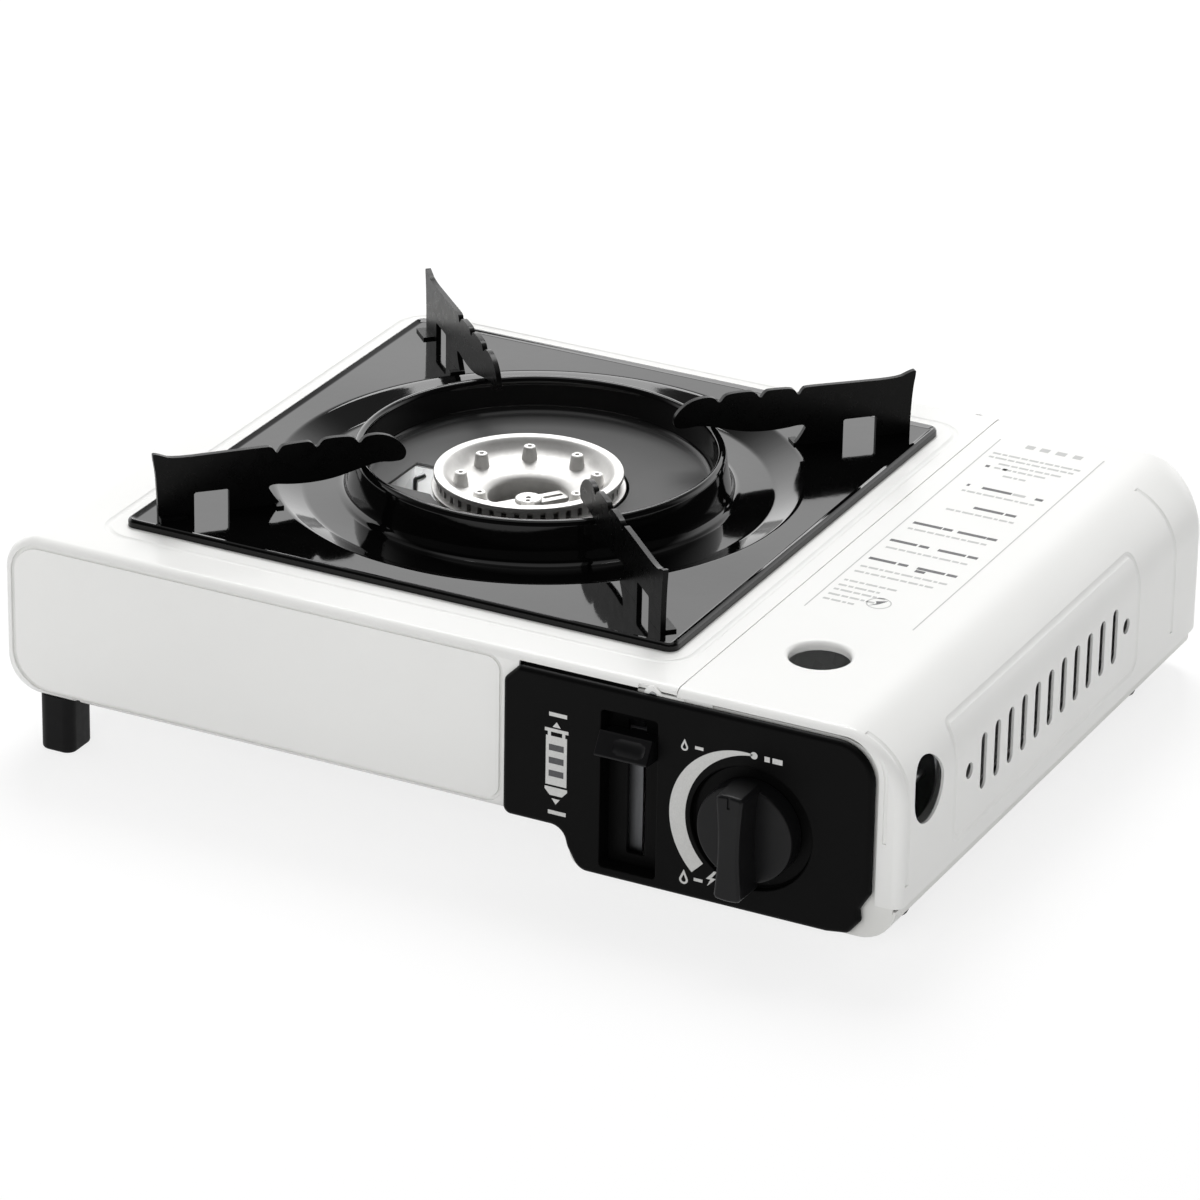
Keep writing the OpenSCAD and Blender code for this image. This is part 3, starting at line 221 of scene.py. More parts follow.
def ramp(tree, value, low, high, start=0.0, end=1.0, shape="SMOOTHSTEP"):
    """Output of a node that turns the range from low to high into the range from start to end."""
    return add(tree, "ShaderNodeMapRange", {"interpolation_type": shape}, {
        "Value": value, "From Min": low, "From Max": high, "To Min": start, "To Max": end}).outputs[0]


def layer(target):
    """A function that gives a layer of a finish: what it changes, pattern, pitch in mm, amount, stretch."""
    return lambda pitch, amount, kind="noise", stretch=(1, 1, 1): (target, kind, pitch, amount, stretch)


# "tone" darkens the colour by up to the amount, or lightens it where that is negative, "gloss" adds it to
# the roughness, and "bump" raises the surface by that many millimetres
tone, gloss, bump = layer("tone"), layer("gloss"), layer("bump")


def metal(roughness, *layers):
    """The shader's values and the layers of a bare metal."""
    return {"Metallic": 1.0, "Roughness": roughness}, layers


def coat(roughness, ior, *layers, shine=0.5, **varnish):
    """The same for paint, enamel, plastic, rubber or ink."""
    values = {"Roughness": roughness, "IOR": ior, "Specular IOR Level": shine}
    return {**values, **{"Coat " + name: value for name, value in varnish.items()}}, layers


FINISHES = {
    # Polyester powder coat, baked on steel: smooth white gloss with a fine orange peel
    "white_paint": coat(0.4, 1.5, tone(70, 0.025), gloss(24, 0.07), bump(1.6, 0.0035),
                        shine=0.35, Weight=0.15, Roughness=0.12),
    # The same coat sprayed thinner on the underside: duller, with a coarser peel
    "white_underside": coat(0.5, 1.5, tone(45, 0.05), gloss(18, 0.1), bump(1.4, 0.008)),
    # Hot-dip galvanised sheet: dull zinc with flat crystals about 9 mm wide
    "galvanised_sheet": ({"Metallic": 0.25, "Roughness": 0.45}, (
        tone(9, 0.16, "cells"), tone(2.2, 0.06), gloss(9, 0.16, "cells"), bump(0.9, 0.004))),
    # Cold-rolled bright sheet: fine rolling lines along its length
    "bright_sheet": metal(0.24, tone(1.0, 0.12, stretch=(0.04, 1, 1)),
                          gloss(0.8, 0.14, stretch=(0.04, 1, 1)), bump(0.6, 0.002, stretch=(0.04, 1, 1))),
    # Vitreous enamel fired on steel: deep black glass that flows slightly, so reflections waver. The sunk
    # floor is rougher, and its colour is made much lighter there, a dark grey in place of black
    "black_enamel": coat(0.045, 1.5, tone(22, 0.3), gloss(14, 0.03), gloss(120, 0.5, "well"),
                         tone(120, -62, "well"), bump(70, 0.6, "swell"), bump(9, 0.01), bump(0.7, 0.0006),
                         shine=0.32),
    # Sprayed enamel on the cut plates: thinner, so it is less deep and a little rough
    "black_support_enamel": coat(0.24, 1.5, tone(6, 0.3), gloss(4, 0.1), bump(0.9, 0.003), shine=0.15),
    # Pressure-cast aluminium, tumbled: near-white satin with a grain from the die
    "cast_aluminium": metal(0.56, tone(5, 0.08), tone(0.7, 0.06, "cells"), gloss(2, 0.12), bump(0.6, 0.008)),
    # Turned brass, slightly dulled by handling
    "brass": metal(0.26, tone(3, 0.18), gloss(2, 0.14), bump(0.4, 0.002)),
    # Glazed alumina: warm white and glassy
    "white_ceramic": coat(0.12, 1.6, tone(4, 0.06), gloss(2, 0.06), bump(1.2, 0.003)),
    # Silicone sleeve: soft grey with a matt skin
    "lead_insulation": coat(0.55, 1.41, tone(5, 0.1), gloss(2, 0.1), bump(0.5, 0.006)),
    # Filled nylon: dark, with glass fibres that dull its skin
    "igniter_plastic": coat(0.42, 1.53, tone(2, 0.2), gloss(1.5, 0.12), bump(0.5, 0.006)),
    # Zinc as it leaves the die: grey, with flow marks
    "die_cast_zinc": metal(0.42, tone(9, 0.2, stretch=(1, 1, 0.3)), gloss(4, 0.14), bump(0.7, 0.008)),
    # Zinc-plated and passivated steel: bright, faintly streaked
    "plated_steel": metal(0.28, tone(1.5, 0.14, stretch=(1, 0.1, 1)), gloss(1.2, 0.12), bump(0.5, 0.002)),
    # The same plating on the lever's strip, dull, and darker in colour: painted shade of the channel it lies
    # in
    "worn_plating": metal(0.5, tone(1.5, 0.2, stretch=(1, 1, 0.1)), gloss(1.2, 0.1), bump(0.5, 0.003)),
    # Acetal: smooth, slightly waxy
    "carriage_plastic": coat(0.34, 1.48, tone(4, 0.12), gloss(3, 0.08), bump(0.8, 0.004)),
    # ABS moulded against a spark-eroded tool: fine matt grain, drawn at 0.9 mm so that it shows
    "panel_plastic": coat(0.36, 1.46, tone(30, 0.12), gloss(12, 0.08), bump(0.9, 0.006, "cells"),
                          shine=0.07),
    # Phenolic resin of the knob and handle: a little lighter and glossier than the panel
    "knob_plastic": coat(0.33, 1.46, tone(9, 0.14), gloss(5, 0.09), bump(0.7, 0.004, "cells"), shine=0.22),
    # Polypropylene feet: waxy black
    "foot_plastic": coat(0.45, 1.49, tone(7, 0.15), gloss(4, 0.1), bump(0.8, 0.008), shine=0.15),
    # Moulded rubber: matt, with a dusty bloom
    "foot_rubber": coat(0.75, 1.52, tone(3, 0.2), gloss(2, 0.1), bump(0.6, 0.012)),
    # Pad-printed ink: flat, with a slightly open edge to its grain
    "panel_print": coat(0.5, 1.5, tone(0.5, 0.14), gloss(1.2, 0.08)),
    "dark_print": coat(0.5, 1.5, tone(0.6, 0.25), gloss(1.2, 0.08)),
    "faint_print": coat(0.5, 1.5, tone(0.6, 0.06), gloss(1.2, 0.08)),
}

# Each pattern: its node, the node's settings and inputs, its output, and the range that is spread to 0 to 1
PATTERNS = {
    "noise": ("ShaderNodeTexNoise", {}, {"Scale": 1.0, "Detail": 3.0, "Roughness": 0.55}, "Fac", 0.25, 0.75),
    "swell": ("ShaderNodeTexNoise", {}, {"Scale": 1.0, "Detail": 0.0}, "Fac", 0.0, 1.0),
    "cells": ("ShaderNodeTexVoronoi", {"feature": "F1"}, {"Scale": 1.0}, "Color", 0.25, 0.75),
    "well": ("ShaderNodeTexGradient", {"gradient_type": "SPHERICAL"}, {}, "Fac", 0.46, 0.5),
}


def pattern(tree, place, kind, pitch, stretch):
    """A pattern of 0 to 1 whose features are a pitch of so many millimetres apart, or a disc that wide."""
    scale, shift = [part / (pitch * MM) for part in stretch], (0, 0, 0)
    if kind == "well":
        scale[2], shift = 0, (-TRAY.x / pitch, -TRAY.y / pitch, 0)
    mapped = add(tree, "ShaderNodeMapping", {}, {"Vector": place, "Scale": scale, "Location": shift})
    node_kind, settings, inputs, output, low, high = PATTERNS[kind]
    texture = add(tree, node_kind, settings, {"Vector": mapped.outputs[0], **inputs})
    return ramp(tree, texture.outputs[output], low, high, shape="LINEAR")


@cache
def surface(name):
    """The material of a finish, made from its row in FINISHES at its first use."""
    shader_values, layers = FINISHES[name]
    material = bpy.data.materials.new(name + "_finish")
    tree = blank_tree(material)
    place = add(tree, "ShaderNodeTexCoord").outputs["Object"]
    base = tuple(getattr(bpy.context.scene.stove_colours, name)) + (1.0,)
    colour_now, gloss_now, normal_now = base, shader_values["Roughness"], None
    for target, kind, pitch, amount, stretch in layers:
        value = pattern(tree, place, kind, pitch, stretch)
        if target == "tone":
            dark = [part * (1 - amount) for part in base[:3]] + [1.0]
            # A tone layer over another counts half
            share = value if colour_now is base else calculate(tree, "MULTIPLY", value, 0.5)
            colour_now = add(tree, "ShaderNodeMix", {"data_type": "RGBA"}, {
                "Factor": share, "A": colour_now, "B": dark}).outputs[2]
        elif target == "gloss":
            gloss_now = calculate(tree, "MULTIPLY_ADD", value, amount, gloss_now)
        else:
            links = {"Height": value, "Distance": amount * MM}
            if normal_now:
                links["Normal"] = normal_now
            normal_now = add(tree, "ShaderNodeBump", {}, links).outputs[0]
    inputs = {**shader_values, "Base Color": colour_now, "Roughness": gloss_now}
    if normal_now:
        inputs["Normal"] = normal_now
    shader = add(tree, "ShaderNodeBsdfPrincipled", {}, inputs)
    add(tree, "ShaderNodeOutputMaterial", {}, {"Surface": shader.outputs[0]})
    return material


# ---- Outlines, in millimetres and degrees ----

def arc(x, y, r, start, end, n=8):
    """Points of an arc with both its ends."""
    turns = [radians(start + (end - start) * i / n) for i in range(n + 1)]
    return [(x + r * cos(t), y + r * sin(t)) for t in turns]


def rounded(corners, radius, n=6):
    """A closed outline through corners. A corner may carry its own radius as a third number."""
    outline = []
    for i, corner in enumerate(corners):
        r = corner[2] if len(corner) > 2 else radius
        here = Vector(corner[:2])
        if not r:
            outline.append(tuple(here))
            continue
        before = (Vector(corners[i - 1][:2]) - here).normalized()
        after = (Vector(corners[(i + 1) % len(corners)][:2]) - here).normalized()
        half = before.angle(after) / 2
        reach = r / sin(half)
        middle_point = here + (before + after).normalized() * reach
        start = here + before * (reach * cos(half)) - middle_point
        end = here + after * (reach * cos(half)) - middle_point
        for k in range(n + 1):
            spoke = start.lerp(end, k / n).normalized() * r
            outline.append(tuple(middle_point + spoke))
    return outline


def bar(x0, y0, x1, y1):
    """A rectangle with square corners."""
    return [(x0, y0), (x1, y0), (x1, y1), (x0, y1)]


def rectangle(x0, y0, x1, y1, r, n=6):
    """A rectangle with rounded corners."""
    return rounded(bar(x0, y0, x1, y1), r, n)


def shifted(x, y, *outlines):
    """Outlines moved by x and y."""
    return [[(x + u, y + v) for u, v in outline] for outline in outlines]


def inset(outline, distance):
    """The closed outline moved inwards, each corner along its own bisector."""
    area = sum(a[0] * b[1] - b[0] * a[1] for a, b in zip(outline, outline[1:] + outline[:1]))
    side = 1 if area > 0 else -1
    moved = []
    for i, point in enumerate(outline):
        here = Vector(point)
        ways = [(here - Vector(outline[i - 1])).normalized(),
                (Vector(outline[(i + 1) % len(outline)]) - here).normalized()]
        normals = [Vector((-way.y, way.x)) * side for way in ways]
        moved.append(tuple(here + (normals[0] + normals[1]) * distance / (1 + normals[0].dot(normals[1]))))
    return moved


def softened(points, rounds=2):
    """An open chain of points with its corners cut again and again, and its two ends kept."""
    for _ in range(rounds):
        cut = [points[0]]
        for a, b in zip(points, points[1:]):
            cut += [tuple(Vector(a).lerp(Vector(b), 0.25)), tuple(Vector(a).lerp(Vector(b), 0.75))]
        points = cut + [points[-1]]
    return points


# ---- Solids ----

AXES = {"X": lambda u, v, h: (h, u, v), "Y": lambda u, v, h: (u, h, v), "Z": lambda u, v, h: (u, v, h)}


def mesh_piece(name, points, faces, closed=True):
    """A mesh object through points. A closed one has its faces turned outwards."""
    shape = bmesh.new()
    corners = [shape.verts.new(Vector(point) * MM) for point in points]
    for face in faces:
        shape.faces.new([corners[i] for i in face])
    bmesh.ops.remove_doubles(shape, verts=shape.verts, dist=1e-6)
    if closed:
        bmesh.ops.recalc_face_normals(shape, faces=shape.faces)
    return from_bmesh(name, shape)


def from_bmesh(name, shape):
    """A linked object that takes over a bmesh."""
    mesh = bpy.data.meshes.new(name)
    shape.to_mesh(mesh)
    shape.free()
    piece = bpy.data.objects.new(name, mesh)
    bpy.context.scene.collection.objects.link(piece)
    return piece


def loft(name, rings, ring_shut=False):
    """A solid through rings of as many points. With ring_shut the last ring joins the first."""
    n = len(rings[0])
    last = len(rings) - 1
    pairs = [(i, (i + 1) % len(rings)) for i in range(len(rings) if ring_shut else last)]
    faces = [(a * n + k, a * n + (k + 1) % n, b * n + (k + 1) % n, b * n + k)
             for a, b in pairs for k in range(n)]
    if not ring_shut:
        faces += [tuple(range(n)), tuple(last * n + k for k in range(n - 1, -1, -1))]
    return mesh_piece(name, [point for ring in rings for point in ring], faces)


def stack(name, axis, levels):
    """A solid through outlines at heights along an axis."""
    return loft(name, [[AXES[axis](u, v, h) for u, v in outline] for outline, h in levels])


def prism(name, axis, outline, low, high):
    """An outline drawn out along an axis."""
    return stack(name, axis, [(outline, low), (outline, high)])


def block(name, low, high):
    """A box between two corners, for cutting and joining."""
    return prism(name, "Z", bar(*low[:2], *high[:2]), low[2], high[2])


def lathe(name, axis, centre, profile, n=96):
    """A closed profile of radius and height, turned about an axis through a centre (u, v)."""
    rings = [[AXES[axis](centre[0] + u, centre[1] + v, h) for u, v in arc(0, 0, r, 0, 360 - 360 / n, n - 1)]
             for r, h in profile]
    return loft(name, rings, ring_shut=profile[0][0] > 0 or profile[-1][0] > 0)


def drum(name, axis, centre, r, low, high, n=96):
    """A plain cylinder, for cutting and joining."""
    return prism(name, axis, arc(*centre, r, 0, 360 - 360 / n, n - 1), low, high)


def edge_levels(outline, start, end, radius, steps=5):
    """Levels of a solid that is square at its start and rounded at its end."""
    way = 1 if end > start else -1
    turns = [radians(90 * i / steps) for i in range(steps + 1)]
    return [(outline, start)] + [
        (inset(outline, radius * (1 - cos(t))), end - way * radius * (1 - sin(t))) for t in turns]


# ---- Making pieces ----

def settle(piece):
    """Makes a piece's modifiers part of its mesh."""
    graph = bpy.context.evaluated_depsgraph_get()
    mesh = bpy.data.meshes.new_from_object(piece.evaluated_get(graph))
    piece.modifiers.clear()
    piece.data = mesh
    return piece


def combine(piece, tool, operation="DIFFERENCE"):
    """Cuts a tool out of a piece, or joins or crosses the two, and drops the tool."""
    cut = piece.modifiers.new(operation.lower(), "BOOLEAN")
    cut.operation = operation
    cut.object = tool
    cut.solver = "MANIFOLD"
    before = len(piece.data.vertices)
    settle(piece)
    bpy.data.objects.remove(tool)
    if not piece.data.polygons or len(piece.data.vertices) == before:
        raise RuntimeError(f"{piece.name}: {operation} did nothing")
    return piece


def carve(piece, *tools):
    """Cuts tools out of a piece."""
    for tool in tools:
        combine(piece, tool)
    return piece


def weld(piece, *tools):
    """Joins tools to a piece as one solid."""
    for tool in tools:
        combine(piece, tool, "UNION")
    return piece


def gather(name, *pieces):
    """Puts the meshes of several pieces in one piece, as separate shells."""
    shape = bmesh.new()
    for piece in pieces:
        shape.from_mesh(piece.data)
        bpy.data.objects.remove(piece)
    return from_bmesh(name, shape)


def smooth(piece, angle=32, bevel=0.0):
    """Rounds a piece's edges and shades it smooth, with an edge where faces meet at more than the angle."""
    if bevel:
        edge = piece.modifiers.new("bevel", "BEVEL")
        edge.width = bevel * MM
        edge.segments = 3
        edge.limit_method = "ANGLE"
        edge.angle_limit = radians(35)
        edge.use_clamp_overlap = True
        settle(piece)
    shape = bmesh.new()
    shape.from_mesh(piece.data)
    bmesh.ops.remove_doubles(shape, verts=shape.verts, dist=1e-6)
    for face in shape.faces:
        face.smooth = True
    for edge in shape.edges:
        edge.smooth = len(edge.link_faces) == 2 and edge.calc_face_angle(0.0) < radians(angle)
    shape.to_mesh(piece.data)
    shape.free()
    shading = piece.modifiers.new("shading", "WEIGHTED_NORMAL")
    shading.keep_sharp = True
    shading.weight = 60
    return settle(piece)


def turned_to(place, angle):
    """The matrix of a turn about Z and a move from the origin to a place."""
    return Matrix.Translation(Vector(place) * MM) @ Matrix.Rotation(radians(angle), 4, "Z")


def finish(piece, node=None, body=None, slot=None, finish_name=None, angle=32, bevel=0.0):
    """Smooths a piece and gives it its finish. A piece that stands for a node has its body and slot."""
    smooth(piece, angle, bevel)
    if node:
        packed = frame["nodes"][node]
        body = packed.parent.name.split(":")[-1]
        slot = packed.data.materials[0].name
    piece.data.materials.clear()
    piece.data.materials.append(surface(finish_name or slot))
    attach(piece, body)
    if node:
        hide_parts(node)
    return piece


# ---- Geometry node trees ----

def new_tree(name, sockets):
    """A geometry node tree with named inputs, and the outputs of its input node by name."""
    tree = bpy.data.node_groups.new(name, "GeometryNodeTree")
    tree.interface.new_socket(name="Geometry", in_out="OUTPUT", socket_type="NodeSocketGeometry")
    for label, kind in sockets.items():
        tree.interface.new_socket(name=label, in_out="INPUT", socket_type="NodeSocket" + kind)
    source = add(tree, "NodeGroupInput")
    return tree, source.outputs


def close_tree(tree, geometry):
    real = add(tree, "GeometryNodeRealizeInstances", {}, {"Geometry": geometry})
    painted = add(tree, "GeometryNodeSetMaterial", {}, {"Geometry": real.outputs[0]})
    add(tree, "NodeGroupOutput", {}, {"Geometry": painted.outputs[0]})
    return tree


@cache
def copies_tree():
    """Copies of an object in a row, each a step further and a turn about Z further than the last."""
    tree, given = new_tree("Copies", {"Piece": "Object", "Count": "Int", "Start": "Vector",
                                      "Step": "Vector", "First turn": "Float", "Turn": "Float"})
    index = add(tree, "GeometryNodeInputIndex").outputs[0]
    along = add(tree, "ShaderNodeVectorMath", {"operation": "SCALE"}, {0: given["Step"], "Scale": index})
    place = add(tree, "ShaderNodeVectorMath", {"operation": "ADD"}, {0: given["Start"], 1: along.outputs[0]})
    turned = calculate(tree, "MULTIPLY_ADD", index, given["Turn"], given["First turn"])
    rotation = add(tree, "ShaderNodeCombineXYZ", {}, {"Z": turned})
    points = add(tree, "GeometryNodePoints", {}, {"Count": given["Count"], "Position": place.outputs[0]})
    piece = add(tree, "GeometryNodeObjectInfo", {}, {"Object": given["Piece"]})
    made = add(tree, "GeometryNodeInstanceOnPoints", {}, {
        "Points": points.outputs[0], "Instance": piece.outputs["Geometry"],
        "Rotation": rotation.outputs[0]})
    return close_tree(tree, made.outputs[0])


@cache
def spots_tree():
    """Copies of an object at the points of the mesh that carries the tree."""
    tree, given = new_tree("Spots", {"Geometry": "Geometry", "Piece": "Object"})
    piece = add(tree, "GeometryNodeObjectInfo", {}, {"Object": given["Piece"]})
    made = add(tree, "GeometryNodeInstanceOnPoints", {}, {
        "Points": given["Geometry"], "Instance": piece.outputs["Geometry"]})
    return close_tree(tree, made.outputs[0])


@cache
def sweep_tree():
    """A round bar along the lines of the mesh that carries the tree, its corners rounded."""
    tree, given = new_tree("Sweep", {"Geometry": "Geometry", "Radius": "Float", "Corner": "Float",
                                     "Sides": "Int"})
    line = add(tree, "GeometryNodeMeshToCurve", {}, {"Mesh": given["Geometry"]})
    bent = add(tree, "GeometryNodeFilletCurve", {"mode": "POLY"}, {
        "Curve": line.outputs[0], "Count": 10, "Radius": given["Corner"], "Limit Radius": True})
    ring = add(tree, "GeometryNodeCurvePrimitiveCircle", {}, {
        "Resolution": given["Sides"], "Radius": given["Radius"]})
    tube = add(tree, "GeometryNodeCurveToMesh", {}, {
        "Curve": bent.outputs[0], "Profile Curve": ring.outputs[0], "Fill Caps": True})
    return close_tree(tree, tube.outputs[0])


def grow(name, tree_maker, carrier=None, **values):
    """Runs a tree on a carrier object and returns its result as a plain piece."""
    tree = tree_maker()
    piece = carrier or mesh_piece(name, [(0, 0, 0)], [], closed=False)
    piece.name = name
    modifier = piece.modifiers.new("grow", "NODES")
    modifier.node_group = tree
    inputs = {item.name: item.identifier for item in tree.interface.items_tree if item.in_out == "INPUT"}
    for label, value in values.items():
        modifier[inputs[label.replace("_", " ")]] = value
    settle(piece)
    shape = bmesh.new()
    shape.from_mesh(piece.data)
    bmesh.ops.recalc_face_normals(shape, faces=shape.faces)
    shape.to_mesh(piece.data)
    shape.free()
    return piece


def copies(name, piece, number, start=(0, 0, 0), step=(0, 0, 0), first_turn=0.0, turn=0.0):
    """A row or ring of a piece, which is used up. Lengths in millimetres, turns in degrees."""
    made = grow(name, copies_tree, Piece=piece, Count=number, Start=Vector(start) * MM,
                Step=Vector(step) * MM, First_turn=radians(first_turn), Turn=radians(turn))
    bpy.data.objects.remove(piece)
    return made


def spots(name, piece, places):
    """A piece, which is used up, repeated at places in millimetres."""
    made = grow(name, spots_tree, mesh_piece(name, places, [], closed=False), Piece=piece)
    bpy.data.objects.remove(piece)
    return made


def sweep(name, points, radius, corner=0.0, shut=False, sides=12):
    """A round bar of a radius along points, with rounded corners."""
    shape = bmesh.new()
    line = [shape.verts.new(Vector(point) * MM) for point in points]
    for a, b in zip(line, line[1:] + (line[:1] if shut else [])):
        shape.edges.new((a, b))
    return grow(name, sweep_tree, from_bmesh(name, shape), Radius=radius * MM, Corner=corner * MM,
                Sides=sides)


# ---- Housing and lid ----

def quarter(n):
    """Turns from 0 to 90 degrees, in radians."""
    return [radians(90 * i / n) for i in range(n + 1)]


def house_solid(name, inset_by, x_end, s):
    """The housing's left part, shrunk by an inset: rounded left edges, and a small radius front and back."""
    r = s.edge_radius - inset_by
    side = s.side_radius
    levels = [(inset_by + r * (1 - sin(t)), BACK - inset_by - r * (1 - cos(t))) for t in quarter(6)]
    levels += [(inset_by + r * (1 - sin(t)), FRONT + inset_by + r * (1 - cos(t))) for t in quarter(6)[::-1]]
    rings = []
    for step, y in levels:
        outline = ([(x_end, DECK - step)] + arc(LEFT + side, DECK - side, side - step, 90, 180, 14)
                   + arc(LEFT + side, BELLY + side, side - step, 180, 270, 14) + [(x_end, BELLY + step)])
        rings.append([(x, y, z) for x, z in outline])
    return loft(name, rings)


def lid_solid(name, inset_by, x0, z0, s):
    """The lid, shrunk by an inset: one big rounded edge, a rear corner rounded in plan and at the top."""
    corner, rear, edge = (r - inset_by for r in (s.lid_corner, s.lid_rear, s.edge_radius))
    levels = []
    for t in quarter(14):
        back = corner * (1 - cos(t))
        top = rear - sqrt(rear ** 2 - (rear - back) ** 2) if back < rear else 0
        levels.append((inset_by + corner * (1 - sin(t)), inset_by + top, BACK - inset_by - back))
    for t in quarter(6)[::-1]:
        step = inset_by + edge * (1 - sin(t))
        levels.append((step, step, FRONT + inset_by + edge * (1 - cos(t))))
    r = s.lid_radius
    rings = []
    for tx, tz, y in levels:
        bend = [(RIGHT - r + (r - tx) * cos(t), DECK - r + (r - tz) * sin(t)) for t in quarter(24)]
        outline = [(x0, DECK - tz), (x0, z0), (RIGHT - tx, z0)] + bend
        rings.append([(x, y, z) for x, z in outline])
    return loft(name, rings)


def groove(name, points, radius, corner=0.0, shut=False):
    """A tool for a pressed groove, whose points are the middle of its round section."""
    return sweep(name, points, radius, corner, shut, sides=24)


def lid_bend(t, lift, s):
    """A point (x, z) a lift outside the lid's rounded edge, t degrees up from its side."""
    r = s.lid_radius
    return (RIGHT - r + (r + lift) * cos(radians(t)), DECK - r + (r + lift) * sin(radians(t)))


RIM_BEND = 1.8        # radius of the bend round the lid's top hole


def pressed_rim(name, axis, centre, r, face, way, s):
    """The turned-in rim of a hole: the sheet bends inwards and stands as a short collar."""
    bend, collar, t = RIM_BEND, 3.4, s.sheet
    outer = [(r + bend - bend * sin(a), bend * (1 - cos(a))) for a in quarter(6)]
    inner = [(r + bend - (bend - t) * sin(a), t + (bend - t) * (1 - cos(a))) for a in quarter(6)]
    edge = r + bend + 1
    profile = [(edge, 0)] + outer + [(r, collar), (r + t, collar)] + inner[::-1] + [(edge, t)]
    return lathe(name, axis, centre, [(u, face - way * depth) for u, depth in profile], 72)


class STOVE_OT_shell(bpy.types.Operator):
    """Deck with its left, front and back walls, pressed from one sheet"""
    bl_idname = "stove.shell"
    bl_label = "Top shell"

    def execute(self, context):
        s = sizes()
        shell = carve(house_solid("shell_skin", 0, SEAM, s), house_solid("hollow", s.sheet, SEAM + 1, s))
        carve(shell, drum("hole", "Z", TRAY.xy, 100, DECK - 10, DECK + 1, 128))
        # Joggled flange that lies under the lid's edge
        joggle = [(SEAM - 1.5, DECK - 0.5), (SEAM - 1.5, DECK - 2.2), (SEAM + 4, DECK - 2.2),
                  (SEAM + 4, DECK - 1.15), (SEAM + 0.4, DECK - 1.15), (SEAM + 0.4, DECK - 0.9),
                  (SEAM + 0.2, DECK - 0.4), (SEAM - 0.3, DECK - 0.03)]
        weld(shell, prism("flange", "Y", joggle, FRONT + 8, BACK - 8))
        carve(shell,
              block("underside", (LEFT + 24, FRONT + 14, BELLY - 1), (SEAM + 1, BACK - 14, BELLY + 2)),
              block("step", (STEP - 6.5, FRONT - 1, BELLY - 1), (SEAM + 1, BACK + 1, BELLY + 5)),
              block("window", (SEAM - 56, FRONT - 1, BELLY - 1), (SEAM + 1, FRONT + 3, DECK - 10.9)),
              block("gap", (PANEL_LEFT + 5, FRONT - 1, PANEL_TOP - 1),
                    (SEAM + 1, FRONT + 1.6, PANEL_TOP + 1)),
              block("front_notch", (HINGE.x - 6, FRONT - 1, DECK - 11.5), (SEAM + 1, FRONT + 1.3, DECK + 1)),
              block("rear_notch", (HINGE.x - 6, BACK - 1.3, DECK - 11.5), (SEAM + 1, BACK + 1, DECK + 1)),
              block("drain", (LEFT + 28, FRONT - 1, BELLY - 1), (LEFT + 31, FRONT + 4.5, BELLY + 2.6)))
        # The front wall's sunk field, and the deep groove round it, whose bead stands inside the wall
        x0, x1, z0, z1 = LEFT + 4, SEAM - 67.6, BELLY + 2.9, DECK - 3.1
        field = rounded([(x0, z0, 14), (x1, z0, 6), (x1, z1, 6), (x0, z1, 11)], 6, 12)
        weld(shell, groove("bead", [(x, FRONT + 1.6, z) for x, z in field], 1.4, 0, True))
        carve(shell, stack("field", "Y", [(inset(field, -0.3), FRONT - 1), (inset(field, -0.3), FRONT),
                                          (field, FRONT + 0.3)]))
        # It is cut twice: its round bottom, and then its mouth
        for depth in (s.groove_radius, 0):
            path = [(x, FRONT + depth, z) for x, z in field]
            carve(shell, groove("field_groove", path, s.groove_radius, 0, True))
        # The broad line round the tray
        lift = s.swage_radius - s.swage_depth
        z, side, front = DECK + lift, TRAY_HALF + 6.6, TRAY_HALF + 8.6
        ring = [(TRAY.x + a * side, TRAY.y + b * front, z) for a, b in ((-1, -1), (1, -1), (1, 1), (-1, 1))]
        carve(shell, groove("deck_swage", ring, s.swage_radius, 12, True))
        finish(shell, "top_shell")
        return {"FINISHED"}


LID_LEFT = SEAM + 0.45
EAR_RADIUS = 3.5
# The opening for the control panel lies between the band on its right and the brow above it
BAND, BROW, BROW_RADIUS = 9.5, 2.5, 14
BROW_CENTRE = (RIGHT - BAND - BROW_RADIUS, DECK - BROW - BROW_RADIUS)


def open_lid_front(lid):
    """Cuts the opening for the control panel into the lid's front."""
    corner = arc(*BROW_CENTRE, BROW_RADIUS, 0, 90, 12)
    opening = ([(SEAM - 1, SKIRT - 1), (RIGHT - BAND, SKIRT - 1)] + corner
               + [(SEAM + 14, DECK - BROW), (SEAM + 14, HINGE.z - EAR_RADIUS),
                  (SEAM - 1, HINGE.z - EAR_RADIUS)])
    carve(lid, prism("opening", "Y", opening, FRONT - 1, FRONT + 1.4),
          block("gap", (LID_LEFT - 1, FRONT - 1, PANEL_TOP - 1), (SEAM + 15, FRONT + 0.7, PANEL_TOP + 1)))


def add_lid_ears(lid, s):
    """Adds the ears that the hinge pins pass through."""
    ear = arc(HINGE.x, HINGE.z, EAR_RADIUS, 90, 270, 14) + [
        (LID_LEFT + 3, HINGE.z - EAR_RADIUS), (LID_LEFT + 3, HINGE.z + 1), (HINGE.x + 3, HINGE.z + 1)]
    for y in (FRONT, BACK - s.sheet):
        weld(lid, prism("ear", "Y", ear, y, y + s.sheet))
        carve(lid, drum("pin_hole", "Y", (HINGE.x, HINGE.z), 1.55, y - 1, y + s.sheet + 1, 32))


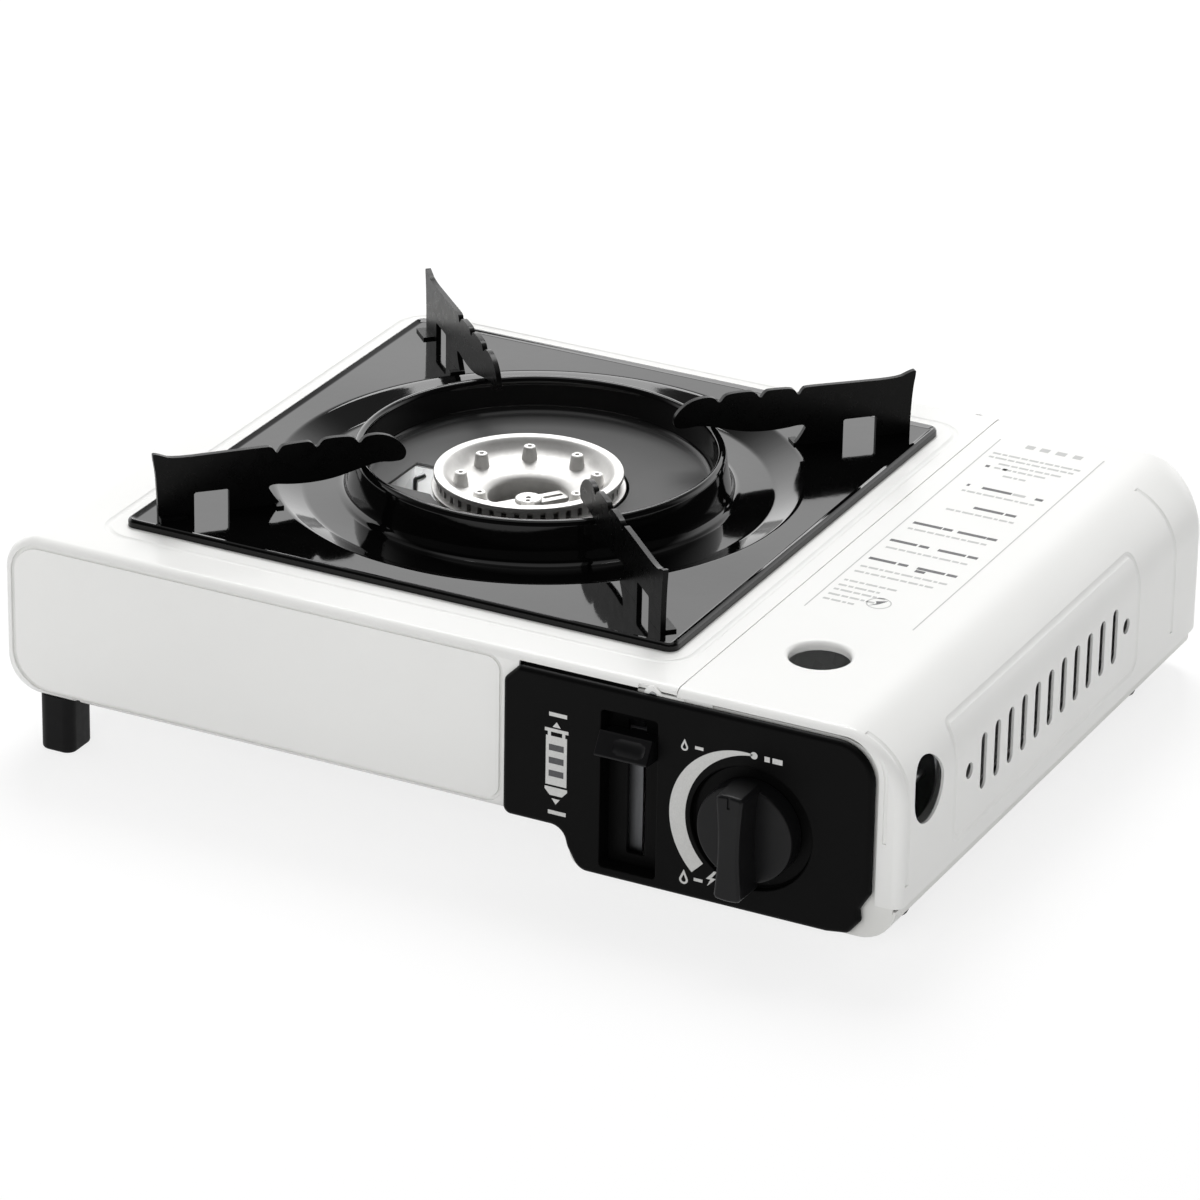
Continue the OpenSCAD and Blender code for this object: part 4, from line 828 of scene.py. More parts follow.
def cut_lid_holes(lid, s):
    """Cuts a round hole with a turned-in rim in the top, and the finger hole and the vents in the side."""
    top, hole_r = (SEAM + 31, MIDDLE_Y - 87), 11
    carve(lid, drum("top_hole", "Z", top, hole_r + RIM_BEND, DECK - 3, DECK + 1))
    weld(lid, pressed_rim("top_rim", "Z", top, hole_r, DECK, 1, s))
    side = (MIDDLE_Y - 116, DECK - 26)
    carve(lid, drum("side_hole", "X", side, hole_r + 1, RIGHT - 8, RIGHT + 1))
    # Vent slots in a row, and a small hole at each end
    half, pitch, low, high = s.slot_width / 2, 11.6, DECK - 43, DECK - 26.5
    outline = rectangle(-half, low - half, half, high + half, half, 8)
    slot = prism("slot", "X", outline, RIGHT - 3, RIGHT + 1)
    first = MIDDLE_Y - 12 - (s.slot_count - 1) / 2 * pitch
    carve(lid, copies("slots", slot, s.slot_count, (0, first, 0), (0, pitch, 0)))
    for y, z in ((MIDDLE_Y - 82, DECK - 33.5), (MIDDLE_Y + 57, DECK - 35)):
        carve(lid, drum("hole", "X", (y, z), 3, RIGHT - 3, RIGHT + 1, 32))


def press_lid_lines(lid, s):
    """Presses the field round the slots, the lines near the front and the back, and the brow's line."""
    lift = s.swage_radius - s.swage_depth
    # The field's top line lies on the rounded edge
    y0, y1, z0 = MIDDLE_Y - 94, MIDDLE_Y + 68, DECK - 56
    rise = [lid_bend(t, lift, s) for t in range(0, 36, 7)]
    path = ([(RIGHT + lift, y1, z0), (RIGHT + lift, y0, z0)] + [(x, y0, z) for x, z in rise]
            + [(x, y1, z) for x, z in reversed(rise)])
    carve(lid, groove("side_swage", path, s.swage_radius, 5, True))
    # Lines that follow the section near the front and the back
    for y in (FRONT + 5, MIDDLE_Y + 102):
        section = [(RIGHT + lift, z0)] + [lid_bend(t, lift, s) for t in range(0, 71, 5)]
        carve(lid, groove("cross_swage", [(x, y, z) for x, z in section], s.swage_radius))
    # Line pressed round the opening's corner. It follows the lid's rounded front edge at its upper end
    out = 2.6
    lift = s.groove_radius - s.groove_depth
    path = [(RIGHT - BAND + out, FRONT - lift, SKIRT + 24)] + [
        (x, FRONT - lift + max(0, z - DECK + 3) * 0.2, z)
        for x, z in arc(*BROW_CENTRE, BROW_RADIUS + out, 0, 90, 12)]
    carve(lid, groove("brow_groove", path[:-3], s.groove_radius))


class STOVE_OT_lid(bpy.types.Operator):
    """Hinged cover of the cartridge bay, with its holes, vent slots and pressed lines"""
    bl_idname = "stove.lid"
    bl_label = "Cartridge lid"

    def execute(self, context):
        s = sizes()
        lid = lid_solid("lid_skin", 0, LID_LEFT, SKIRT, s)
        carve(lid, lid_solid("hollow", s.sheet, LID_LEFT - 1, SKIRT - 2, s))
        open_lid_front(lid)
        add_lid_ears(lid, s)
        cut_lid_holes(lid, s)
        press_lid_lines(lid, s)
        finish(lid, "cartridge_lid")
        return {"FINISHED"}


# ---- Tray, supports and burner ----

def ray_angles():
    """Turns for the tray's rings: even steps, and finer ones across the corners."""
    even = [radians(1.5 * i) for i in range(240)]
    fine = [radians(45 + 90 * q + 0.3 * k) for q in range(4) for k in range(-6, 7) if k % 5]
    return sorted(even + fine)


def square_ring(half, r, z):
    """Points of a rounded square round the tray's middle."""
    ring = []
    for t in ray_angles():
        long, short = max(abs(cos(t)), abs(sin(t))), min(abs(cos(t)), abs(sin(t)))
        reach = half / long
        if reach * short > half - r:
            b = (half - r) * (long + short)
            reach = b + sqrt(b * b - 2 * (half - r) ** 2 + r * r)
        ring.append((TRAY.x + reach * cos(t), TRAY.y + reach * sin(t), z))
    return ring


class STOVE_OT_tray(bpy.types.Operator):
    """Drip tray: rolled edge, flat, trough, raised collar with its bead, and sunk floor"""
    bl_idname = "stove.tray"
    bl_label = "Drip tray"

    def execute(self, context):
        s = sizes()
        corner = 4.0
        flat = 2.2        # height of the tray's flat above the deck, as all heights here
        edge = [(0, 0), (0, 1.9), (0.35, 2.6), (1.1, 3), (1.9, 2.75), (2.6, 2.3), (3.4, flat)]
        under_edge = [(3.4, flat - 1), (1, flat - 1), (1, 0)]
        t = s.trough_radius
        c = 66.7          # radius of the collar
        floor = 30        # radius inside the burner's hole, where the sunk floor ends
        top = COLLAR_TOP - DECK
        upper = [
            (t, flat), (t - 1, flat - 0.1), (t - 2, flat - 0.45), (t - 3.2, flat - 1.1), (t - 11, -2.5),
            (t - 12, -2.88), (t - 13.2, -3), (c + 7.6, -3), (c + 6.1, -2.7), (c + 4.9, -2), (c + 3.9, -0.4),
            (c + 3.2, 2.6), (c + 2.4, 7.2), (c + 2, top - 2), (c + 1.6, top - 0.8), (c + 0.8, top - 0.1),
            (c, top), (c - 0.8, top - 0.2), (c - 1.4, top - 0.9), (c - 1.65, top - 1.7),
            (c - 1.7, top - 3.2), (c - 1.8, 2.4), (c - 2.3, 0.8), (c - 3.4, -0.4), (c - 5, -0.9),
            (c - 8.7, -1.1), (floor, -1.6)]
        lower = [
            (floor, -2.5), (c - 3.4, -2.2), (c - 2.1, -2.4), (c - 1, -1.4), (c - 0.7, 0),
            (c - 0.7, top - 2.2), (c, top - 1.2), (c + 0.6, top - 2), (c + 1.3, 7), (c + 2.1, 2.5),
            (c + 2.8, -0.7), (c + 4.1, -2.8), (c + 5.6, -3.7), (c + 7.6, -4), (t - 12.8, -4),
            (t - 11.4, -3.7), (t - 3.4, 0), (t - 2, 0.7), (t, flat - 1)]
        rings = [square_ring(TRAY_HALF - d, max(corner - d, 1), DECK + z) for d, z in edge]
        rings += [[(TRAY.x + r * cos(a), TRAY.y + r * sin(a), DECK + z) for a in ray_angles()]
                  for r, z in upper + lower]
        rings += [square_ring(TRAY_HALF - d, max(corner - d, 1), DECK + z) for d, z in under_edge]
        tray = loft("tray_skin", rings, ring_shut=True)
        low, high = DECK - 6, DECK + 2
        carve(tray, drum("burner_hole", "Z", BURNER.xy, s.burner_radius + 2, low, high),
              block("notch", (BURNER.x - 46, BURNER.y - 24.2, low), (BURNER.x - 20, BURNER.y - 1.2, high)))
        finish(tray, "drip_tray", angle=40)
        return {"FINISHED"}


class STOVE_OT_supports(bpy.types.Operator):
    """Four pan supports cut from plate, with an outer horn, notches and a window between the legs"""
    bl_idname = "stove.supports"
    bl_label = "Pan supports"

    def execute(self, context):
        s = sizes()
        half = s.support_thickness / 2
        foot = 2.2        # height of the plate's foot above the deck
        # Distance from the burner's middle and height above the deck: up the horn and in along the top, then
        # out again along the underside, and round the window
        chain = [
            (144.5, foot), (144.6, 10), (145.2, 20), (146.3, 26.5), (145.8, 27.3), (143.5, 26.6),
            (139, 24.7), (120, 25), (104, 25.3), (101.6, 25), (100, 21.9), (98.3, 24.9), (96, 25.4),
            (91, 25.6), (87, 25.6), (85, 22.4), (83, 25.6), (80, 26.1), (74, 26), (71, 25.4), (69, 22.3),
            (67, 25.2), (62, 25.6), (57, 24.2), (53, 21), (51, 17.5), (52, 14.4), (56, 13.9), (62, 14.6),
            (70, 12.4), (80, 9.7), (92, 9.2), (104, 10.8), (101.5, 6), (98.5, foot)]
        window = [(118, foot), (118, 9.9), (118.6, 10.5), (130.4, 10.5), (131, 9.9), (131, foot)]
        places = {225: "front_left", 315: "front_right", 135: "rear_left", 45: "rear_right"}
        for angle, name in places.items():
            plate = prism(name + "_plate", "Y", softened(chain) + window, -half, half)
            for near, far in ((98.5, 101.2), (134.5, 144.4)):
                weld(plate, block("tab", (near, -half + 0.1, foot), (far, 5, foot + 1)))
            plate.data.transform(turned_to((TRAY.x, TRAY.y, DECK), angle))
            finish(plate, name + "_support", bevel=0.35)
        return {"FINISHED"}


class STOVE_OT_burner(bpy.types.Operator):
    """Cast burner head: rim, ring of ports, dished middle, drilled nipples and the bridge with its boss"""
    bl_idname = "stove.burner"
    bl_label = "Burner head"

    def execute(self, context):
        s = sizes()
        r = s.burner_radius
        # Radius and height from the rim's top: over the rim, down past the ports, and back through the dish
        profile = [
            (r - 3.8, -0.6), (r - 3.4, -0.15), (r - 2.8, 0), (r - 0.8, 0), (r - 0.2, -0.2), (r, -0.7),
            (r, -1.5), (r - 0.3, -2), (r - 1.1, -2.2), (r - 1.3, -2.3), (r - 1.3, -5.7), (r + 0.3, -5.8),
            (r + 0.8, -6.1), (r + 0.8, -6.6), (r + 0.3, -6.8), (r - 3.5, -6.8), (r - 3.5, -3.9),
            (r - 6.2, -6.4), (23, -8.3), (17.1, -10.4), (17.1, -16), (15, -16), (15, -11), (15.6, -9.6),
            (17.4, -8.5), (22.5, -6.6), (r - 8, -5.6), (r - 5.7, -3.6), (r - 4.6, -1.6)]
        ring = lathe("ring", "Z", BURNER.xy, [(a, RIM + b) for a, b in profile])
        port = block("port", (r - 3.9, -s.port_gap / 2, -5.6), (r + 1, s.port_gap / 2, -2.35))
        centre = (BURNER.x, BURNER.y, RIM)
        carve(ring, copies("ports", port, s.port_count, centre, turn=360 / s.port_count, first_turn=4))
        nipple = lathe("nipple", "Z", (r - 10, 0), [
            (0.75, -9), (3.2, -9), (3, -6.4), (2.5, -3), (2.2, -1.3), (1.9, -1.05), (1, -1.05),
            (0.75, -1.3)], 20)
        nipples = copies("nipples", nipple, s.nipple_count, centre, turn=360 / s.nipple_count, first_turn=27)
        bridge = prism("bridge", "Z", rectangle(-15.4, -3.5, 15.4, 3.5, 0.3), -14.5, -12.2)
        boss = [(0, -14.4), (5, -14.4), (5, -11.3), (4.6, -10.9), (0, -10.9)]
        weld(bridge, lathe("boss", "Z", (0, 0), boss, 32))
        carve(bridge, drum("bore", "Z", (0, 0), 1, -16, -8, 20),
              prism("slot", "Z", rectangle(6, -0.9, 14, 0.9, 0.8), -16, -10))
        bridge.data.transform(turned_to(centre, 54))
        head = gather("burner_casting", ring, nipples, bridge)
        finish(head, "burner_head", angle=38)
        return {"FINISHED"}


# ---- Control panel, knob and lever ----

def panel_corners():
    """Corners of the control panel's outline, with the step that follows the base pan. Radii are third."""
    left, right, low, top = PANEL_LEFT, PANEL_RIGHT, PANEL_LOW, PANEL_TOP
    return [(left, BELLY + 0.1, 3.2), (left, top - 6, 3), (left + 6, top, 3), (right, top, 14),
            (right, low + 18, 3), (right - 4, low + 11.5, 2.2), (right - 3.4, low + 7, 2.2),
            (right - 8, low + 1.2, 3), (right - 16, low, 6), (STEP + 5, low, 6), (STEP + 0.4, low + 8, 5),
            (STEP - 1.6, BELLY + 0.1, 6)]


class STOVE_OT_panel(bpy.types.Operator):
    """Moulded control panel with the dial recess and the lever channel"""
    bl_idname = "stove.panel"
    bl_label = "Control panel"

    def execute(self, context):
        s = sizes()
        back = FRONT - 0.3
        outline = rounded(panel_corners()[::-1], 3, 7)
        panel = stack("panel_moulding", "Y", edge_levels(outline, back, PANEL_Y, s.panel_edge))
        r = s.dial_radius
        centre = (DIAL.x, DIAL.z)
        weld(panel, drum("cup", "Y", centre, r + 1.5, back - 0.5, FRONT + 2))
        x0, x1 = HANDLE.x - 10.8, HANDLE.x + 10.8
        z0, z1 = DECK - 73, DECK - 12.6
        floor = PANEL_Y + 7
        wall = 1.5
        weld(panel, block("channel_box", (x0 - wall, back - 0.5, z0 - wall),
                          (x1 + wall, floor + wall, z1 + wall)))
        # A rib stands in the gap between the panel and the shell's edge
        rib = [(back - 0.5, -0.8), (FRONT + 1.2, -0.8), (FRONT + 1.2, 0.8), (FRONT + 0.6, 0.8),
               (FRONT + 0.6, -0.3), (back - 0.5, -0.3)]
        weld(panel, prism("rib", "X", [(y, PANEL_TOP + z) for y, z in rib], PANEL_LEFT + 7, HINGE.x - 6.5))
        # The recess and the channel have a small rounded lip
        lip = [(0, -1), (r + 0.9, -1), (r + 0.9, 0), (r + 0.35, 0.2), (r + 0.05, 0.7), (r, 1.4)]
        cup = [(r, FRONT - 0.2), (r - 0.7, FRONT + 0.5), (0, FRONT + 0.5)]
        recess = lathe("recess", "Y", centre, [(u, PANEL_Y + y) for u, y in lip] + cup, 128)
        channel = rectangle(x0, z0, x1, z1, 1.2, 5)
        lip = [(inset(channel, -out), PANEL_Y + y) for out, y in ((0.7, -1), (0.7, 0), (0.25, 0.2))]
        cut = stack("channel", "Y", lip + [(channel, PANEL_Y + 0.8), (channel, floor)])
        slot = rectangle(HANDLE.x - 3.7, z0 + 4, HANDLE.x + 3.4, z1 - 4.4, 0.8)
        slot = prism("slot", "Y", slot, floor - 1, floor + 3)
        carve(panel, recess, cut, slot, drum("spindle_hole", "Y", centre, 3.3, FRONT - 1, FRONT + 3, 48))
        finish(panel, "control_panel")
        return {"FINISHED"}


class STOVE_OT_knob(bpy.types.Operator):
    """Knob: a disc and a waisted grip bar with a line that shows the setting"""
    bl_idname = "stove.knob"
    bl_label = "Control knob"

    def execute(self, context):
        s = sizes()
        (_, tip, bottom), (_, root, top) = span("control_knob")
        r = s.knob_radius
        reach = (top - bottom) / 2
        centre = (DIAL.x, DIAL.z)
        face = FRONT - 8
        disc = lathe("knob_moulding", "Y", centre, [
            (3, root), (r - 0.6, root), (r, root - 0.5), (r, face + 1.2), (r - 0.35, face + 0.4),
            (r - 1.2, face), (3, face)])
        # Outline of the grip: its sides are waisted and its ends follow a circle
        half, waist, flank = s.grip_width / 2, 1.1, 18.6
        side = [(half - waist * cos(radians(90 * k / 9)), flank * k / 9) for k in range(-9, 10)]
        corner = degrees(atan2(sqrt(reach ** 2 - half ** 2), half))
        end = arc(0, 0, reach, corner + 3, 177 - corner, 6)
        outline = side + end + [(-u, v) for u, v in reversed(side)] + [(-u, -v) for u, v in end]
        outline = [(DIAL.x + u, DIAL.z + v) for u, v in outline]
        draft, edge = 0.35, 1.3
        levels = [(outline, face + 1), (inset(outline, draft), tip + edge)]
        levels += [(inset(outline, draft + edge * (1 - cos(t))), tip + edge * (1 - sin(t)))
                   for t in quarter(4)[1:]]
        weld(disc, stack("grip", "Y", levels))
        carve(disc, drum("socket", "Y", centre, 3, tip + 6.5, root + 1, 48),
              block("line", (DIAL.x - 0.55, tip - 1, DIAL.z + 15.3),
                    (DIAL.x + 0.55, tip + 0.6, DIAL.z + 22.1)))
        finish(disc, "control_knob", angle=36)
        return {"FINISHED"}


class STOVE_OT_handle(bpy.types.Operator):
    """Lever handle: a scooped thumb ledge on a neck that passes through the channel's slot"""
    bl_idname = "stove.handle"
    bl_label = "Lever handle"

    def execute(self, context):
        (x0, tip, z0), (x1, root, z1) = span("lever_handle")
        back = PANEL_Y + 6.7
        ledge = [(back, z1 - 2), (back, z0), (PANEL_Y - 1, z0), (tip + 0.8, z0 + 0.7), (tip + 0.2, z0 + 1),
                 (tip, z0 + 1.4), (tip + 0.1, z0 + 2), (PANEL_Y - 2.7, z1 - 0.7), (PANEL_Y - 2.3, z1 - 0.2),
                 (PANEL_Y - 1.8, z1), (PANEL_Y + 1, z1 - 2)]
        handle = prism("handle_moulding", "X", ledge, x0, x1)
        smooth(handle, bevel=0.5)
        scoop = [(0, 1.2), (4.6, 1.2), (5.6, 2.2), (6, 4)]
        scoop = [(r, x0 + 4.5 + a) for r, a in scoop] + [(r, x1 - a) for r, a in reversed(scoop)]
        carve(handle, lathe("scoop", "X", (PANEL_Y - 8.9, z1 - 1), scoop, 64))
        weld(handle, block("neck", (HANDLE.x - 3.1, back - 1, z0 + 1), (HANDLE.x + 2.6, root, z0 + 6.6)))
        finish(handle, "lever_handle", angle=36)
        return {"FINISHED"}


# ---- Printed marks ----

def printed(name, outlines, axis, level, depth, body, slot, finish_name):
    """Thin ink shapes on a flat face. The level is the ink's outer side."""
    marks = [prism("mark", axis, outline, level - depth, level) for outline in outlines]
    return finish(gather(name, *marks), body=body, slot=slot, finish_name=finish_name, angle=60)


def drop(x, z, size):
    """Outlines of a flame drop: a pointed drop with a smaller one left open inside, as two halves."""
    belly, opening = 0.42, 0.52
    outer = arc(x, z, size * belly, -90, 30) + [(x, z + size)]
    inner = [(x + (u - x) * opening, z + (v - z) * opening) for u, v in outer]
    right = outer + inner[::-1]
    return [right, [(2 * x - u, v) for u, v in reversed(right)]]


class STOVE_OT_marks(bpy.types.Operator):
    """Plain marks printed on the control panel: the flame scale, drops, and the cartridge pictogram"""
    bl_idname = "stove.marks"
    bl_label = "Panel marks"

    def execute(self, context):
        s = sizes()
        x, z = DIAL.x, DIAL.z
        # The scale widens from its dot at the top to its end at the lower left
        inner, outer = [], []
        for k in range(37):
            t = radians(90 + 135 * k / 36)
            grown = min(1, k / 24)
            near, wide = 27.9 - 2.9 * sin(pi / 2 * grown), 0.7 + 5.4 * sin(pi / 2 * grown)
            inner.append((x + near * cos(t), z + near * sin(t)))
            outer.append((x + (near + wide) * cos(t), z + (near + wide) * sin(t)))
        marks = [outer + inner[::-1], arc(x + 0.6, z + 28.2, 1.35, 0, 345, 20)]
        # Drops and bars for a small flame, off and a big flame, and a bolt for the spark
        marks += drop(x - 25.8, z + 25.2, 3.2) + drop(x - 25, z - 25.6, 4)
        marks += shifted(
            x, z, bar(-21.8, 25.4, -18.6, 26.6), bar(4.6, 26.9, 6.6, 28.9), bar(7.6, 26.9, 11.4, 28.9),
            bar(-21.1, -25.1, -17.7, -23.9), [(-13.4, -19.6), (-16.4, -23.1), (-14.7, -23.1), (-16, -25.9),
                                              (-12.6, -22.4), (-14.3, -22.4), (-12.2, -19.6)])
        # Pictogram of a cartridge, with an arrow and a bar at each end
        cx, low, high = PANEL_LEFT + 21.3, DECK - 46, DECK - 27.1
        marks.append(bar(cx - 4.1, low, cx + 4.1, high))
        marks += shifted(
            cx, high, bar(-4.6, 1.6, 4.6, 2.9), bar(-3.4, 0, -2.2, 1.6), bar(2.2, 0, 3.4, 1.6),
            [(-1.6, 3.5), (1.6, 3.5), (0, 5.6)], bar(-3, 7.6, 4, 9.1))
        marks += shifted(
            cx, low, [(-4.4, -0.8), (-4.4, -1.8), (-2.4, -4), (2.4, -4), (4.4, -1.8), (4.4, -0.8)],
            [(-1.6, -5.2), (1.6, -5.2), (0, -7.3)], bar(-3, -11.3, 4, -9.8))
        bands = shifted(cx, high, *(bar(-2.9, -5.6 - 5 * k, 2.9, -3.2 - 5 * k) for k in range(3)))
        ink = s.print_thickness
        base = ("housing", "panel_plastic")
        printed("panel_marks", marks, "Y", PANEL_Y - ink, -2 * ink, *base, "panel_print")
        printed("pictogram_bands", bands, "Y", PANEL_Y - 2 * ink, -2 * ink, *base, "dark_print")
        return {"FINISHED"}


def broken(start, stop, y, high, turn):
    """A row of short printed bars of uneven length."""
    bars = []
    while start < stop - 0.8:
        end = min(stop, start + (3.1, 1.9, 4.4, 2.5, 3.6, 1.4)[turn % 6])
        bars.append(bar(start, y - high / 2, end, y + high / 2))
        start = end + 0.7
        turn += 1
    return bars


class STOVE_OT_lid_print(bpy.types.Operator):
    """Plain bars printed on the lid inside a thin frame"""
    bl_idname = "stove.lid_print"
    bl_label = "Lid print"

    def execute(self, context):
        # Two long lines, a row of four bars at the top, and rows of short bars
        faint = [bar(x, -53, x + 0.5, 117) for x in (0, 42)]
        heads = ((11.6, 3.4), (17.4, 3.6), (23.8, 4), (30.8, 3.4))
        faint += [bar(x, 113.5, x + wide, 116.6) for x, wide in heads]
        rows = [(104, 3, 39), (100.2, 3, 37), (95.5, 9, 34), (91.5, 9, 30), (85.8, 15, 24), (66.8, 7, 36),
                (48.5, 9, 37), (26, 4, 35), (7, 4, 36), (-12.2, 3, 37), (-17.2, 3, 34), (-25.8, 3, 24),
                (-30.5, 3, 19), (-34.5, 3, 23), (-39, 3, 22), (-43.5, 3, 15)]
        for turn, (y, start, stop) in enumerate(rows):
            faint += broken(start, stop, y, 1.3, turn)
        faint.append(bar(25, 71.3, 30, 73.1))
        # Heavy bars, and a ring with a dark flag in it
        dark = [bar(x - 0.8, 90.6, x + 0.8, 92.4) for x in (6.3, 13.3)]
        pairs = [(2.8, 13.3), (14.2, 18), (21.7, 32.5), (33.3, 37.2)]
        for y, bars in ((72.2, [(6.7, 7.7), (12.8, 24.5), (34, 37)]), (54.2, [(17.5, 29.2), (30, 34.2)]),
                        (31.5, [(3.7, 15), (15.5, 19.2), (21.3, 32.5), (32.8, 36.7)]), (13.5, pairs),
                        (-4.5, pairs), (-7, [(22, 25.8)])):
            dark += [bar(left, y - 0.95, right, y + 0.95) for left, right in bars]
        x, y = 22.4, -38.5
        faint += [arc(x, y, 4.6, turn, turn + 180, 14) + arc(x, y, 4.1, turn, turn + 180, 14)[::-1]
                  for turn in (0, 180)]
        dark += shifted(x, y, [(-2.4, -3.2), (0.2, -0.8), (2.2, 3.1), (-1.6, 1.2), (-0.7, -0.6)])
        ink = sizes().print_thickness
        for name, marks, kind in (("faint_bars", faint, "faint_print"), ("dark_bars", dark, "dark_print")):
            printed(name, shifted(SEAM + 8.5, MIDDLE_Y, *marks), "Z", DECK + ink, 2 * ink,
                    "lid", "white_paint", kind)
        return {"FINISHED"}


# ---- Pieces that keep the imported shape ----

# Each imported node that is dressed: the width of its bevel, the angle up to which faces are shaded as one,
# and a finish where its slot's own doesn't fit
DRESSED = {
    "base_pan": (0, 32), "partition": (0, 32), "mixing_tube": (0, 40), "burner_bracket": (0, 32),
    "heat_shield": (0, 32), "gas_jet": (0.15, 35), "piezo_igniter": (0.3, 35), "regulator": (0.25, 35),
    "regulator_cap": (0.25, 35), "valve_spindle": (0.2, 35), "guide_rods": (0.25, 35),
    # The lever guide's darker plating is painted shade of its channel
    "clamp_fork": (0.2, 35), "lever_guide": (0.15, 35, "worn_plating"), "lever_carriage": (0.25, 35),
    "front_hinge_pin": (0.2, 35), "rear_hinge_pin": (0.2, 35), "cartridge_cradle": (0, 32),
    "cartridge_spring": (0.15, 35),
}


def dress(node, bevel, angle, finish_name=None):
    """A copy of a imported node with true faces, softened edges and its finish."""
    shape = bmesh.new()
    shape.from_mesh(frame["nodes"][node].data)
    bmesh.ops.remove_doubles(shape, verts=shape.verts, dist=1e-6)
    bmesh.ops.dissolve_limit(shape, angle_limit=radians(0.6), verts=shape.verts, edges=shape.edges)
    piece = from_bmesh(node + "_piece", shape)
    return finish(piece, node, finish_name=finish_name, angle=angle, bevel=bevel)


class STOVE_OT_works(bpy.types.Operator):
    """Base pan and the pieces inside: walls, regulator, clamp, slide, tube, bracket and springs"""
    bl_idname = "stove.works"
    bl_label = "Base and works"

    def execute(self, context):
        for node, values in DRESSED.items():
            dress(node, *values)
        return {"FINISHED"}


class STOVE_OT_lines(bpy.types.Operator):
    """Gas pipe, ignition lead and the spark electrode with its wire"""
    bl_idname = "stove.lines"
    bl_label = "Pipe, lead and electrode"

    def execute(self, context):
        jet = span("gas_jet")[1].x
        pipe_r, inlet = 2.25, DECK - 26
        low, high = span("gas_pipe")
        mouth, y, z = high.x, FRONT + 30, low.z + pipe_r
        points = [(mouth, y, z), (mouth - 10, y, z), (mouth - 10, y + 16, z), (jet + 8, y + 16, z),
                  (jet + 8, y + 56, z + 4), (jet + 8, BURNER.y, inlet), (jet, BURNER.y, inlet)]
        finish(sweep("pipe_tube", points, pipe_r, 4.9, sides=20), "gas_pipe")
        # The lead runs down from the electrode, along the belly and up into the igniter's end
        x, ey = BURNER.x - 41, BURNER.y - 12
        lead_y, low = FRONT + 35.6, BELLY + 5
        igniter = middle("piezo_igniter")
        path = [(x, ey, DECK - 32), (x, ey, low), (x, lead_y + 16, low), (SEAM - 30.5, lead_y, low),
                (SEAM - 7.5, lead_y, igniter.z), (igniter.x, lead_y, igniter.z),
                (igniter.x, FRONT + 32, igniter.z)]
        finish(sweep("lead_cable", path, 1.2, 3, sides=14), "ignition_lead")
        rod = [(0.9, 32), (2.2, 32), (2.5, 31.6), (2.5, 24.3), (3, 24), (3, 20), (2.5, 19.7), (2.5, 11),
               (2, 10), (0.9, 10)]
        ceramic = lathe("electrode_rod", "Z", (x, ey), [(r, DECK - depth) for r, depth in rod], 32)
        weld(ceramic, block("clip", (BURNER.x - 47, ey - 3, DECK - 24), (x - 1, ey + 3, DECK - 20)))
        finish(ceramic, "spark_electrode")
        wire = [(x, ey, DECK - 12), (x, ey, DECK - 2.8), (x + 3, ey + 2.5, DECK - 1.4)]
        finish(sweep("electrode_wire", wire, 0.8, 1.5), body="housing", slot="plated_steel")
        return {"FINISHED"}


class STOVE_OT_feet(bpy.types.Operator):
    """Two tall moulded feet on the left and two low rubber feet on the right"""
    bl_idname = "stove.feet"
    bl_label = "Feet"

    def execute(self, context):
        for side in ("front", "rear"):
            node = side + "_left_foot"
            (x0, y0, z0), (x1, y1, z1) = span(node)
            foot = stack(node + "_block", "Z", edge_levels(rectangle(x0, y0, x1, y1, 4, 8), z1, z0, 1.2))
            place, ledge = middle(node).xy, 10
            carve(foot, drum("well", "Z", place, 3.4, -1, ledge, 40),
                  drum("bore", "Z", place, 1.6, ledge - 1, z1 + 1, 24))
            finish(foot, node)
            node = side + "_right_foot"
            place = middle(node).xy
            top = span(node)[1].z
            pad = lathe(node + "_pad", "Z", place, [
                (0, 0), (5.6, 0), (6.6, 0.3), (7, 1.2), (7, 6.5), (2.5, 6.5), (2.5, top - 0.5), (2, top),
                (0, top)], 56)
            finish(pad, node)
        return {"FINISHED"}


SCREW_HEAD = 2.8      # radius


def screw(axis, way, reach):
    """A pan-head screw at the origin with a cross recess. Its shank points along the way."""
    profile = [(0, reach), (1.1, reach), (1.5, reach - 0.5), (1.5, 0), (SCREW_HEAD, 0), (SCREW_HEAD, -0.7),
               (2.5, -1.2), (1.7, -1.6), (0, -1.6)]
    piece = lathe("screw", axis, (0, 0), [(r, way * depth) for r, depth in profile], 24)
    for u, v in ((0.35, 1.7), (1.7, 0.35)):
        carve(piece, prism("recess", axis, bar(-u, -v, u, v), *sorted((-way * 0.7, -way * 3))))
    return piece


